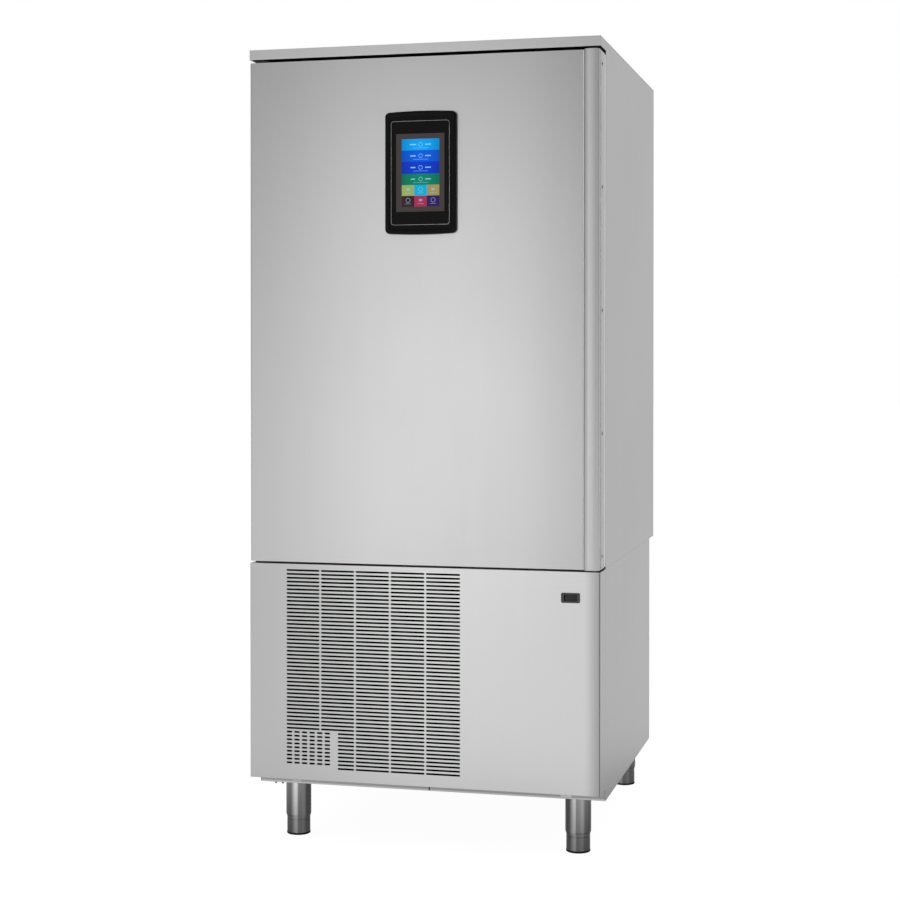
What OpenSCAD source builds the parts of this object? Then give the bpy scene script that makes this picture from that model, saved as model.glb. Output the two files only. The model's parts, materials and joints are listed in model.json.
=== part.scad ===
// Upright blast chiller: an insulated cabinet with one full-height door over a
// slotted machine compartment, on four screwed feet.
// x runs to the right, y to the back and z up. The origin is on the floor, under
// the middle of the overall width and depth.

/* [Cabinet] */
// Overall width of the body
body_w = 790; // [760:5:840]
// Depth of the insulated cabinet, from its front frame to its back
cabinet_d = 757; // [740:1:800]
// Height of the insulated cabinet
cabinet_h = 1140; // [1100:5:1200]
// Thickness of the insulated walls
wall_t = 60; // [54:1:64]
// Thickness of the outer sheets
sheet = 1.2; // [0.8:0.1:1.6]
// Thickness of the chamber's liner and of the front frame
liner_t = 1; // [0.8:0.1:1.4]
// Height of the cap's lip over the door
cap_lip = 22; // [18:1:28]
// How far the front frame folds into the chamber
frame_return = 25; // [15:1:32]
// Fold along the back edge of each side panel
panel_return = 18; // [12:1:28]
// Radius of the coved sides of the chamber's floor
cove_r = 12; // [8:1:16]

/* [Door] */
// Thickness of the door
door_t = 60; // [54:1:66]
// Space for the gasket between the door and the front frame
gasket_gap = 10; // [9:0.5:13]
// Gap between the door and the cap's lip
door_top_gap = 7; // [6:0.5:9]
// Height of the door's lower edge above the split between cabinet and base
door_bottom_gap = 3; // [2.8:0.1:5]
// How far each side of the door stands in from the body's side
door_side_gap = 1.5; // [1.3:0.1:3]
// Bend radius of the door's and the cover's front corners
bend_r = 3; // [2:0.5:5]
// Width of the gasket
gasket_w = 24; // [20:1:28]
// Clearance between the closed gasket and the front frame
gasket_clear = 0.3; // [0.2:0.1:0.6]
// Height of the raised middle of the door's inner panel
plinth_h = 8; // [4:1:9]
// Margin of that raised middle around the gasket
plinth_in = 16; // [10:1:30]

/* [Handle] */
// Width of the grip profile on the door's right edge
handle_w = 37; // [34:1:44]
// How far its front stands out from the door
handle_proud = 14; // [12:1:18]
// Wall of the grip profile
handle_wall = 2.5; // [2:0.1:3]
// Width of the bead along the grip's inner edge
handle_bead = 3; // [2:0.5:4]
// Width of the groove between that bead and the bowed band
handle_groove = 0.8; // [0.5:0.1:1.2]
// Width of the finger pocket behind the grip
grip_gap = 18; // [16:1:20]
// Thickness of the profile's end caps
end_cap_t = 2; // [1.5:0.5:3]
// Number of screws in the door's side
side_screws = 5; // [3:1:7]
// Distance from the door's ends to the first and last of them
side_screw_in = 27; // [20:1:40]
// Radius of their heads
side_screw_r = 4; // [3:0.5:5]

/* [Hinges] */
// Distance of the pivot from the door's left side
hinge_in = 22.5; // [22:0.5:25]
// Radius of the pivot pins
pin_r = 6; // [5:0.5:7]
// Radial clearance of the pins in their bushes
pin_clear = 0.05; // [0.03:0.01:0.08]
// Length of pin in each bush
pin_l = 20; // [16:1:26]
// Wall of the bushes
bush_wall = 3; // [2:0.5:4]
// Thickness of the upper hinge plate
upper_plate_t = 4; // [3:0.5:4.5]
// Thickness of the lower hinge plate
lower_plate_t = 3; // [2.5:0.1:3.2]
// Gap between the lower hinge plate and the door
lower_plate_clear = 0.8; // [0.5:0.1:1]
// Width of the hinge plates
hinge_plate_w = 40; // [36:1:44]

/* [Controller] */
// Width of the controller's housing
display_w = 159; // [140:1:180]
// Height of the housing at its sides
display_h = 263; // [230:1:290]
// Bow of the housing's upper and lower edges
display_bow = 2.6; // [2:0.1:8]
// Radius of the housing's corners
display_corner = 9; // [5:1:14]
// How far the housing stands out from the door
display_proud = 12; // [8:1:12]
// Wall of the housing's box inside the door
display_wall = 2; // [1.5:0.1:3]
// Depth of that box behind the door's skin
display_box_d = 28; // [20:1:36]
// Sideways place of the controller on the body
display_x = 1; // [-60:0.5:60]
// Distance of its centre below the door's upper edge
display_drop = 253.5; // [200:0.5:400]
// Width of the glass screen
screen_w = 108; // [90:1:120]
// Height of the glass screen
screen_h = 169; // [150:1:190]
// Thickness of the glass screen
screen_t = 3; // [2:0.5:4]

/* [Base] */
// Height of the machine compartment
base_h = 505; // [480:5:560]
// Depth of the machine compartment, from the front frame to its back
base_d = 684; // [660:1:690]
// Height of the front cover's lower edge above the tray
cover_lift = 25; // [20:1:32]
// Gap between the front cover and the split above it
cover_gap = 1.5; // [1:0.1:2.5]
// Seam between the front cover and the side panels
cover_seam = 0.5; // [0.3:0.1:1.5]
// Height of the tray's front and back lips
tray_lip = 40; // [34:1:60]
// Sideways place of the two cover screws
cover_screw_x = 308; // [280:1:330]
// Radius of the cover screws' heads
cover_screw_r = 4.5; // [3.5:0.5:6]

/* [Slots] */
// Columns of air slots in the front cover
slot_cols = 5; // [3:1:6]
// Length of a slot
slot_w = 76.7; // [60:0.1:78]
// Height of a slot
slot_h = 4.2; // [3:0.1:5]
// Web between two columns
slot_web = 3.3; // [2.5:0.1:6]
// Distance between two rows
row_pitch = 8.55; // [8:0.05:8.6]
// Distance of the slots from the cover's left side
slot_in = 86; // [70:1:100]
// Distance of the first row's middle below the cover's upper edge
slot_drop = 13.9; // [10:0.1:16]
// Height of plain sheet kept under the last row
slot_foot = 28; // [20:1:40]
// Columns of the field of short slots in the lower left corner
short_cols = 6; // [4:1:6]
// Rows of that field
short_rows = 9; // [6:1:10]
// Length of a short slot
short_w = 13.2; // [10:0.1:14]
// Distance between two short slots
short_pitch = 17.6; // [16:0.1:18]

/* [Legs] */
// Height of the tray above the floor
leg_h = 127; // [120:1:150]
// Radius of a leg tube
leg_r = 28.5; // [28:0.5:32]
// Radius of a foot
foot_r = 26.3; // [25:0.1:26.4]
// Radial clearance of a foot in its tube
foot_clear = 0.08; // [0.05:0.01:0.1]
// Height of foot that shows under the tube
foot_show = 41; // [36:1:50]
// Distance of the ring cut round a foot below its tube
foot_ring = 6; // [4:0.5:12]
// Height of the cone at a tube's lower end
tube_cone = 5; // [2:0.5:8]
// Wall of the tube at its mouth
tube_mouth = 0.8; // [0.5:0.1:1.2]
// Length of foot inside the tube
foot_in = 58; // [50:1:60]
// Distance of the legs from the body's sides
leg_in = 70.5; // [60:0.5:85]
// Distance of the front legs behind the front frame
front_leg_in = 59; // [50:1:80]
// Distance of the rear legs in front of the cabinet's back
rear_leg_in = 30; // [30:1:34]
// Width of the rails over the legs
rail_w = 70; // [66:1:76]
// Height of the rails
rail_h = 40; // [34:1:44]
// Wall of the rails
rail_wall = 2.5; // [2:0.5:4]

/* [Chamber] */
// Distance between two pan levels
level_pitch = 75; // [65:1:75]
// Height of the first pan level above the chamber's floor
first_level = 90; // [80:1:100]
// Room kept over the uppermost pan level
level_room = 100; // [90:1:105]
// Width of the slides' ledges
ledge_w = 31; // [26:1:34]
// Thickness of the slides
slide_t = 1.5; // [1:0.1:2]
// Height of the slides' fold
slide_fold = 14; // [10:1:16]
// Distance of the slides behind the front frame
slide_in = 28; // [28:1:40]
// Distance of the slides in front of the fan panel
slide_gap = 22; // [16:1:40]
// Width of a rack post, between a side liner and the slides
post_w = 21; // [18:1:26]
// Depth of a rack post
post_d = 25; // [20:1:30]
// Wall of a rack post
post_wall = 1.5; // [1:0.1:3]
// Depth of the evaporator coil
coil_d = 90; // [70:1:95]
// Room between the evaporator coil and each side liner
coil_side = 105; // [95:1:130]
// Distance of the evaporator's fins below the chamber's top
coil_drop = 90; // [70:1:120]
// Height of the fins above the chamber's floor
coil_lift = 70; // [60:1:90]
// Distance of the evaporator in front of the chamber's back
coil_back_gap = 12; // [6:1:20]
// Distance between two fins of either coil
fin_pitch = 20; // [16:1:40]
// Thickness of a fin
fin_t = 1.2; // [0.8:0.1:2]
// Rows of tubes in either coil
coil_rows = 7; // [5:1:8]
// Bore of the drain
drain_bore = 12; // [10:0.5:13]
// Wall of the drain pipe
drain_wall = 2; // [1.5:0.5:3]

/* [Fans] */
// Radius of the fan collars in the fan panel
fan_r = 155; // [140:1:160]
// Depth of a fan collar
collar_d = 40; // [38:1:46]
// Gap between a blade's tip and its collar
tip_gap = 5; // [3:0.5:8]
// Number of blades
fan_blades = 7; // [5:1:8]
// Pitch of the blades
blade_pitch = 32; // [24:1:36]
// Thickness of a blade
blade_t = 1.8; // [1.2:0.1:2.4]
// Radius of a fan's hub
hub_r = 42; // [36:1:46]
// Length of a fan's hub
hub_l = 30; // [26:1:32]
// Radius of a motor
motor_r = 44; // [38:1:48]
// Length of a motor
motor_l = 52; // [44:1:56]
// Gap between the fan motors and the evaporator coil
motor_gap = 13; // [8:1:20]
// Radius of a motor's shaft
shaft_r = 4; // [3:0.5:5]
// Radius of the guards' wire
wire_r = 2; // [1.5:0.1:2.5]
// Margin of the condenser's shroud around its fan
shroud_margin = 20; // [17:1:35]

/* [Condensing unit] */
// Gap between the condenser coil and the rail beside it
condenser_side = 4.5; // [3:0.5:10]
// Gap between the condenser coil and the compressor's plate
condenser_gap = 16; // [14:1:24]
// Distance of the condenser coil's top below the split
condenser_drop = 63.8; // [50:0.1:80]
// Depth of the condenser coil
condenser_d = 60; // [44:1:66]
// Distance of the condenser coil behind the front frame
condenser_in = 22; // [16:1:30]
// Depth of the shroud behind the coil
shroud_d = 70; // [60:1:80]
// Radius of the compressor's can
compressor_r = 90; // [80:1:92]
// Height of the compressor's can
compressor_h = 250; // [220:1:270]
// Margin of the compressor's plate beside the can
compressor_plate = 4; // [3:0.5:8]
// Gap between that plate and the rail beside it
compressor_side = 0.5; // [0.5:0.5:6]
// Distance of the compressor behind the front frame
compressor_in = 400; // [380:1:410]
// Height of the compressor's rubber mounts
rubber_h = 20; // [16:1:26]
// Radius of the liquid receiver
receiver_r = 45; // [38:1:48]
// Length of the liquid receiver
receiver_l = 240; // [200:1:260]
// Radius of the liquid line
liquid_r = 5; // [4:0.5:6]
// Radius of the suction line
suction_r = 9; // [8:0.5:10]
// Width of the electrical box
box_w = 84; // [70:1:90]
// Depth of the electrical box
box_d = 250; // [200:5:300]
// Height of the electrical box
box_h = 270; // [200:5:300]
// Distance of the electrical box behind the front frame
box_in = 110; // [90:1:130]
// Distance of the electrical box below the split
box_drop = 32; // [24:1:50]
// Bore of the mains cable gland
gland_bore = 7; // [5:0.5:8]
// Width of the mains switch's frame
switch_w = 41; // [36:1:48]
// Height of the frame
switch_h = 21.5; // [19:0.5:26]
// Width of the rocker
rocker_w = 27; // [24:1:29]
// Height of the rocker
rocker_h = 13; // [11:0.5:15]

/* [Hidden] */
$fn = 48;
cut = 1;            // how far a cutting solid runs past a face
hairline = 0.3;     // seam between two pieces that are fitted side by side

// colours
steel = [0.76, 0.76, 0.75];
liner_steel = [0.70, 0.71, 0.72];
black = [0.06, 0.06, 0.07];
rubber_grey = [0.16, 0.16, 0.17];
foam_yellow = [0.90, 0.84, 0.62];
copper = [0.76, 0.45, 0.28];
aluminium = [0.80, 0.81, 0.83];

// overall places
half_w = body_w / 2;
overall_d = handle_proud + door_t + gasket_gap + cabinet_d;
door_y = handle_proud - overall_d / 2;
door_back_y = door_y + door_t;
frame_y = door_back_y + gasket_gap;
rear_y = frame_y + cabinet_d;
base_y = frame_y + base_d;
split_z = leg_h + base_h;
top_z = split_z + cabinet_h;
lip_z = top_z - cap_lip;
cap_under_z = top_z - sheet;

// chamber
chamber_x = half_w - wall_t;
chamber_z0 = split_z + wall_t;
chamber_z1 = top_z - wall_t;
chamber_y0 = frame_y + frame_return;
chamber_y1 = rear_y - wall_t;
coil_y1 = chamber_y1 - coil_back_gap;
fan_y = coil_y1 - coil_d - motor_gap - motor_l - collar_d;

// door
door_x0 = -half_w + door_side_gap;
door_x1 = half_w - door_side_gap;
door_z0 = split_z + door_bottom_gap;
door_z1 = lip_z - door_top_gap;
door_h = door_z1 - door_z0;
grip_x = door_x1 - handle_w;
bow_w = handle_w - handle_bead - handle_groove;
hinge_x = door_x0 + hinge_in;
hinge_y = door_y + door_t / 2;
bush_r = pin_r + pin_clear + bush_wall;
bush_l = pin_l + 2;
plate_reach = hinge_plate_w / 2;
display_z = door_z1 - display_drop;
display_box_w = screen_w + 14;
display_box_h = screen_h + 20;
gasket_in = 27;     // distance of the gasket's outer edge from the body's side
gasket_x = half_w - gasket_in;
gasket_z0 = split_z + gasket_in;
gasket_z1 = top_z - gasket_in - 3;

// base
cover_z0 = leg_h + cover_lift;
cover_z1 = split_z - cover_gap;
cover_y1 = frame_y - cover_seam;
tray_top = leg_h + sheet;
slot_rows = 1 + floor((cover_z1 - cover_z0 - slot_drop - slot_foot) / row_pitch);
leg_x = half_w - leg_in;
front_leg_y = frame_y + front_leg_in;
rear_leg_y = rear_y - rear_leg_in;
rail_y1 = rear_y - 2;
corner_post = 40;   // width of the side panels' front folds

// slides
slide_x1 = chamber_x - post_w;
slide_x0 = slide_x1 - ledge_w;
slide_y0 = frame_y + slide_in;
slide_l = fan_y - slide_gap - slide_y0;
levels = 1 + floor((chamber_z1 - chamber_z0 - first_level - level_room) / level_pitch);

// condensing unit
rail_x = leg_x - rail_w / 2;
compressor_x = rail_x - compressor_side - compressor_plate - compressor_r;
condenser_x0 = condenser_side - rail_x;
condenser_x1 = compressor_x - compressor_r - compressor_plate - condenser_gap;
condenser_y = frame_y + condenser_in;
condenser_z0 = tray_top;
condenser_z1 = split_z - condenser_drop;
condenser_fan_r = min(condenser_x1 - condenser_x0, condenser_z1 - condenser_z0) / 2 - shroud_margin;
shroud_y = condenser_y + condenser_d;
collar_y = shroud_y + shroud_d;
condenser_fan_x = (condenser_x0 + condenser_x1) / 2;
condenser_fan_z = (condenser_z0 + condenser_z1) / 2;
compressor_y = frame_y + compressor_in;
compressor_z = tray_top + rubber_h + 4;
compressor_top = compressor_z + compressor_h;
receiver_x1 = condenser_x1 - 25;
receiver_y = base_y - 110;
receiver_z = tray_top + receiver_r + 26;
drier_x = receiver_x1 - receiver_l / 2;
drier_z0 = receiver_z + receiver_r + 45;
drier_z1 = drier_z0 + 110;
line_z = split_z - 117;
upper_fan_z = (chamber_z0 + chamber_z1) / 2 + fan_r + 45;
lower_fan_z = (chamber_z0 + chamber_z1) / 2 - fan_r - 45;

// refrigerant lines, clear of the pieces that they pass
liquid_x = half_w - wall_t - 65;
liquid_y = min(chamber_y1 - 70, base_y - 57);
suction_x = liquid_x + 25;
suction_y = min(chamber_y1 - 33, base_y - 20);
line_hole = 3;      // clearance around a line that passes a wall
end_plate = 2;      // thickness of a coil's end plates
coil_end_x = chamber_x - coil_side + end_plate / 2;
drain_x = -150;
drain_y = fan_y + 82;
drain_r = drain_bore + drain_wall;
drain_z = split_z - 60;
drain_end_y = base_y + 33;
gland_x = 250;
gland_z = split_z - 72;
switch_x = half_w - 64.5;
switch_z = cover_z1 - 56;
rocker_tilt = 8;

function arc(cx, cy, r, a0, a1, n) =
  [for (i = [0:n]) let (a = a0 + (a1 - a0) * i / n) [cx + r * cos(a), cy + r * sin(a)]];
// A rounded, boxy bow from (cx + a, 0) over (cx, -b) to (cx - a, 0).
function bow(cx, a, b, n) =
  [for (i = [0:n]) let (t = 180 * i / n, c = cos(t))
    [cx + a * sign(c) * pow(abs(c), 0.75), -b * pow(sin(t), 0.6)]];
function reversed(list) = [for (i = [len(list) - 1:-1:0]) list[i]];

module block(x0, x1, y0, y1, z0, z1) {
  translate([x0, y0, z0]) cube([x1 - x0, y1 - y0, z1 - z0]);
}
module on_side(side) mirror([side < 0 ? 1 : 0, 0, 0]) children();
module post(x, y, z0, z1, r) translate([x, y, z0]) cylinder(h = z1 - z0, r = r);
module along_y(x, y0, y1, z, r) translate([x, y0, z]) rotate([-90, 0, 0]) cylinder(h = y1 - y0, r = r);
module along_x(x0, x1, y, z, r) translate([x0, y, z]) rotate([0, 90, 0]) cylinder(h = x1 - x0, r = r);
// A bent pipe through a list of points.
module pipe(points, r) {
  for (i = [0:len(points) - 2]) {
    v = points[i + 1] - points[i];
    translate(points[i]) rotate([0, acos(v[2] / norm(v)), atan2(v[1], v[0])]) cylinder(h = norm(v), r = r);
    if (i > 0) translate(points[i]) sphere(r = r);
  }
}
// Lays a drawing of x and z flat on a plane that faces the front.
module upright(y, t) translate([0, y + t, 0]) rotate([90, 0, 0]) linear_extrude(t) children();

// ---- cabinet ----

module top_cap() color(steel) {
  block(-half_w, half_w, door_y, rear_y, cap_under_z, top_z);
  difference() {
    block(-half_w, half_w, door_y, frame_y, lip_z, top_z);
    block(-half_w + sheet, half_w - sheet, door_y + sheet, frame_y + cut, lip_z + sheet, cap_under_z);
  }
}

module side_panel(side) color(steel) on_side(side) translate([0, 0, split_z])
  linear_extrude(cabinet_h - sheet) polygon([
    [half_w, frame_y], [half_w, rear_y], [half_w - panel_return, rear_y],
    [half_w - panel_return, rear_y - sheet], [half_w - sheet, rear_y - sheet],
    [half_w - sheet, frame_y]
  ]);

module back_panel() color(steel)
  block(-half_w + sheet, half_w - sheet, rear_y - 2 * sheet, rear_y - sheet, split_z, cap_under_z);

module wall_holes(r) {
  post(drain_x, drain_y, split_z - cut, chamber_z0 + cut, drain_r + r);
  post(liquid_x, liquid_y, split_z - cut, chamber_z0 + cut, liquid_r + line_hole);
  post(suction_x, suction_y, split_z - cut, chamber_z0 + cut, suction_r + line_hole);
}

module cabinet_underside() color(steel) difference() {
  block(-half_w + sheet, half_w - sheet, frame_y + liner_t, rear_y - 2 * sheet, split_z, split_z + sheet);
  wall_holes(2);
}

module insulation_foam() color(foam_yellow) difference() {
  block(-half_w + sheet, half_w - sheet, frame_y + liner_t, rear_y - 2 * sheet, split_z + sheet, cap_under_z);
  block(-chamber_x - liner_t, chamber_x + liner_t, frame_y, chamber_y1 + liner_t,
    chamber_z0 - liner_t, chamber_z1 + liner_t);
  wall_holes(2);
}

module liner_side(side) color(liner_steel) on_side(side)
  block(chamber_x, chamber_x + liner_t, chamber_y0, chamber_y1, chamber_z0 + cove_r, chamber_z1);

module liner_back() color(liner_steel)
  block(-chamber_x - liner_t, chamber_x + liner_t, chamber_y1, chamber_y1 + liner_t,
    chamber_z0 - liner_t, chamber_z1);

module liner_top() color(liner_steel)
  block(-chamber_x - liner_t, chamber_x + liner_t, chamber_y0, chamber_y1 + liner_t,
    chamber_z1, chamber_z1 + liner_t);

// One sheet whose sides sweep up into the side liners.
module liner_floor() color(liner_steel) difference() {
  upright(chamber_y0, chamber_y1 - chamber_y0) {
    inner = concat(arc(chamber_x - cove_r, chamber_z0 + cove_r, cove_r, 0, -90, 6),
      arc(-chamber_x + cove_r, chamber_z0 + cove_r, cove_r, -90, -180, 6));
    outer = concat(arc(-chamber_x + cove_r, chamber_z0 + cove_r, cove_r + liner_t, -180, -90, 6),
      arc(chamber_x - cove_r, chamber_z0 + cove_r, cove_r + liner_t, -90, 0, 6));
    polygon(concat(inner, outer));
  }
  wall_holes(2);
}

// Four folded lengths: face against the gasket, return into the chamber.
module front_frame() color(liner_steel) {
  for (side = [-1, 1]) on_side(side) translate([0, 0, split_z]) difference() {
    linear_extrude(cabinet_h - sheet) polygon([
      [half_w - sheet, frame_y], [half_w - sheet, frame_y + liner_t],
      [chamber_x + liner_t, frame_y + liner_t], [chamber_x + liner_t, chamber_y0 - hairline],
      [chamber_x, chamber_y0 - hairline], [chamber_x, frame_y]
    ]);
    for (z = [0, chamber_z1 - split_z]) translate([chamber_x - cut, frame_y + liner_t, z - cut])
      cube([liner_t + 2 * cut, frame_return, wall_t + 2 * cut]);
  }
  for (up = [0, 1]) {
    face_z0 = up ? chamber_z1 : split_z;
    face_z1 = up ? cap_under_z : chamber_z0;
    return_z = up ? chamber_z1 : chamber_z0 - liner_t;
    block(-chamber_x + hairline, chamber_x - hairline, frame_y, frame_y + liner_t, face_z0, face_z1);
    block(-chamber_x + hairline, chamber_x - hairline, frame_y, chamber_y0 - hairline,
      return_z, return_z + liner_t);
  }
}

module hinge_plate(z0, z1) {
  block(hinge_x - plate_reach, hinge_x + plate_reach, hinge_y, frame_y, z0, z1);
  post(hinge_x, hinge_y, z0, z1, plate_reach);
}

module upper_hinge_bracket() color(liner_steel) {
  plate_z = lip_z - upper_plate_t;
  hinge_plate(plate_z, lip_z);
  post(hinge_x, hinge_y, door_z1 - pin_l, plate_z, pin_r);
}

module lower_hinge_bracket() color(liner_steel) {
  plate_z = door_z0 - lower_plate_clear;
  hinge_plate(plate_z - lower_plate_t, plate_z);
  block(hinge_x - plate_reach, hinge_x + plate_reach, frame_y - lower_plate_t, frame_y,
    split_z - corner_post, plate_z);
  post(hinge_x, hinge_y, plate_z, door_z0 + pin_l, pin_r);
}

// ---- chamber ----

// A fin pack: thin plates on hairpin tubes, between two steel end plates.
module finned_coil(x0, x1, y0, y1, z0, z1, foot_z, wall_y) {
  depth = y1 - y0;
  row_h = (z1 - z0) / coil_rows;
  plates = floor((x1 - x0) / fin_pitch);
  color(aluminium) for (i = [1:plates - 1]) let (x = x0 + (x1 - x0) * i / plates)
    block(x - fin_t / 2, x + fin_t / 2, y0, y1, z0, z1);
  color(liner_steel) for (x = [x0, x1]) block(x - end_plate / 2, x + end_plate / 2, y0, wall_y, foot_z, z1);
  color(copper) for (i = [0:coil_rows - 1]) translate([0, (y0 + y1) / 2, z0 + row_h * (i + 0.5)]) {
    for (y = [-depth / 4, depth / 4]) along_x(x0, x1 + end_plate / 2, y, 0, liquid_r);
    translate([x0, 0, 0]) rotate([0, 0, 90]) rotate_extrude(angle = 180)
      translate([depth / 4, 0]) circle(r = liquid_r);
  }
}

module evaporator_coil() finned_coil(coil_side - chamber_x, chamber_x - coil_side, coil_y1 - coil_d, coil_y1,
  chamber_z0 + coil_lift, chamber_z1 - coil_drop, chamber_z0, chamber_y1);

module fan_panel() color(liner_steel) {
  panel_x = chamber_x - 30;
  difference() {
    union() {
      block(-panel_x, panel_x, fan_y, fan_y + sheet, chamber_z0, chamber_z1);
      for (z = [lower_fan_z, upper_fan_z]) along_y(0, fan_y, fan_y + collar_d, z, fan_r + sheet);
      for (z = [chamber_z0, chamber_z1 - sheet])
        block(-panel_x, panel_x, fan_y, fan_y + frame_return, z, z + sheet);
    }
    for (z = [lower_fan_z, upper_fan_z]) along_y(0, fan_y - cut, fan_y + collar_d + cut, z, fan_r);
  }
  for (side = [-1, 1]) on_side(side)
    block(panel_x - sheet, panel_x, fan_y, fan_y + frame_return, chamber_z0, chamber_z1);
}

// Wire rings on two flat bars, with a small plate in the middle.
module fan_guards() color(liner_steel) {
  rings = 6;
  outer_r = fan_r + 3 * wire_r;
  for (z = [lower_fan_z, upper_fan_z]) translate([0, fan_y - wire_r, z]) rotate([-90, 0, 0]) {
    for (i = [1:rings]) rotate_extrude() translate([outer_r * i / rings, 0]) circle(r = wire_r);
    for (a = [45, 135]) rotate([0, 0, a])
      translate([-outer_r, -1.5 * wire_r, -0.5 * wire_r]) cube([2 * outer_r, 3 * wire_r, wire_r]);
  }
}

// A motor behind its collar, on three flat arms, with its shaft to the front.
module fan_motor(x, y, z, r) {
  arm = 4;
  translate([x, y, z]) rotate([-90, 0, 0]) {
    cylinder(h = motor_l, r = motor_r);
    translate([0, 0, -hub_l]) cylinder(h = hub_l + 1, r = shaft_r);
    for (a = [30, 150, 270]) rotate([0, 0, a]) translate([0, -8, 0]) cube([r + sheet, 16, arm]);
  }
}

module fan_motors() color(rubber_grey) {
  for (z = [lower_fan_z, upper_fan_z]) fan_motor(0, fan_y + collar_d, z, fan_r);
}

module fan_blade(tip) intersection() {
  camber = 90;
  translate([0, -hub_l, 0]) cube([tip, 2 * hub_l, hub_l]);
  translate([0, 0, hub_l / 2]) rotate([blade_pitch, 0, 0]) translate([0, 0, -camber]) rotate([0, 90, 0])
    difference() {
      cylinder(h = tip + cut, r = camber + blade_t / 2);
      translate([0, 0, -cut]) cylinder(h = tip + 3 * cut, r = camber - blade_t / 2);
    }
  difference() {
    cylinder(h = hub_l, r = tip);
    translate([0, 0, -cut]) cylinder(h = hub_l + 2 * cut, r = hub_r - 2);
  }
}

module fan_rotor(x, y, z, tip) color(black) translate([x, y - hub_l - 2, z]) rotate([-90, 0, 0])
  difference() {
    union() {
      cylinder(h = hub_l, r = hub_r);
      for (i = [0:fan_blades - 1]) rotate([0, 0, 360 * i / fan_blades]) fan_blade(tip);
    }
    translate([0, 0, -cut]) cylinder(h = hub_l + 2 * cut, r = shaft_r + pin_clear);
  }

module rack_posts() color(liner_steel) {
  z0 = chamber_z0 + cove_r;
  z1 = chamber_z1 - 30;
  for (side = [-1, 1], y = [slide_y0 + 12, slide_y0 + slide_l - 12 - post_d]) on_side(side) difference() {
    block(slide_x1, chamber_x, y, y + post_d, z0, z1);
    block(slide_x1 + post_wall, chamber_x - post_wall, y + post_wall, y + post_d - post_wall, z0 - cut, z1 + cut);
  }
}

module pan_slides(side) color(liner_steel) on_side(side) {
  for (i = [0:levels - 1]) translate([0, slide_y0, chamber_z0 + first_level + i * level_pitch])
    rotate([-90, 0, 0]) linear_extrude(slide_l) polygon([
      [slide_x0, 0], [slide_x1, 0], [slide_x1, slide_fold],
      [slide_x1 - slide_t, slide_fold], [slide_x1 - slide_t, slide_t], [slide_x0, slide_t]
    ]);
}

// A flanged spout in the floor, bent to the back and out through the base.
module chamber_drain() color(liner_steel) difference() {
  route = [[drain_x, drain_y, chamber_z0], [drain_x, drain_y, drain_z], [drain_x, drain_end_y, drain_z]];
  union() {
    pipe(route, drain_r);
    post(drain_x, drain_y, chamber_z0, chamber_z0 + 1.5, drain_r + 10);
    along_y(drain_x, base_y, base_y + 3, drain_z, drain_r + 6);
  }
  pipe([[drain_x, drain_y, chamber_z0 + 5], [drain_x, drain_y, drain_z],
    [drain_x, drain_end_y + cut, drain_z]], drain_bore);
}

// ---- base ----

module base_side(side) color(steel) on_side(side) {
  block(half_w - sheet, half_w, frame_y, base_y, leg_h, split_z);
  block(half_w - corner_post, half_w, frame_y, frame_y + sheet, tray_top + tray_lip, split_z);
  block(half_w - panel_return, half_w, frame_y, base_y - sheet, split_z - sheet, split_z);
}

module base_back_panel() color(steel) {
  vents = 18;
  vent_w = 150;
  upright(base_y - sheet, sheet) difference() {
    translate([-half_w + sheet, tray_top + tray_lip]) square([body_w - 2 * sheet, base_h - 2 * sheet - tray_lip]);
    for (i = [0:vents - 1], x = [-vent_w - 8, 0, vent_w + 8])
      translate([x - vent_w / 2, leg_h + 130 + 14 * i]) square([vent_w, 6]);
    translate([drain_x, drain_z]) circle(r = drain_r + 1);
    translate([gland_x, gland_z]) circle(r = gland_bore + 3.5);
  }
}

// The tray, with two tongues under the rails that reach back below the cabinet.
module base_tray() color(steel) {
  notch = 3;
  block(-half_w + sheet, half_w - sheet, frame_y, base_y, leg_h, tray_top);
  for (side = [-1, 1]) on_side(side) block(rail_x, rail_x + rail_w, base_y - cut, rail_y1, leg_h, tray_top);
  difference() {
    block(-half_w + sheet, half_w - sheet, frame_y, frame_y + sheet, leg_h, leg_h + tray_lip);
    block(-notch / 2, notch / 2, frame_y - cut, frame_y + sheet + cut, tray_top, leg_h + tray_lip + cut);
  }
  difference() {
    block(-half_w + sheet, half_w - sheet, base_y - sheet, base_y, leg_h, tray_top + tray_lip);
    for (side = [-1, 1]) on_side(side)
      block(rail_x - 1, rail_x + rail_w + 1, base_y - sheet - cut, base_y + cut, tray_top, split_z);
  }
}

module base_rails() color(steel) {
  for (side = [-1, 1]) on_side(side) difference() {
    block(rail_x, rail_x + rail_w, frame_y + sheet, rail_y1, tray_top, tray_top + rail_h);
    block(rail_x + rail_wall, rail_x + rail_w - rail_wall, frame_y, rear_y,
      tray_top + rail_wall, tray_top + rail_h - rail_wall);
  }
}

module cover_plan(inset) {
  r = bend_r - (inset > 0 ? sheet : 0);
  x = half_w - inset;
  y = door_y + inset;
  polygon(concat([[x, cover_y1 + (inset > 0 ? cut : 0)], [-x, cover_y1 + (inset > 0 ? cut : 0)]],
    arc(-x + r, y + r, r, 180, 270, 4), arc(x - r, y + r, r, 270, 360, 4)));
}

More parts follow.
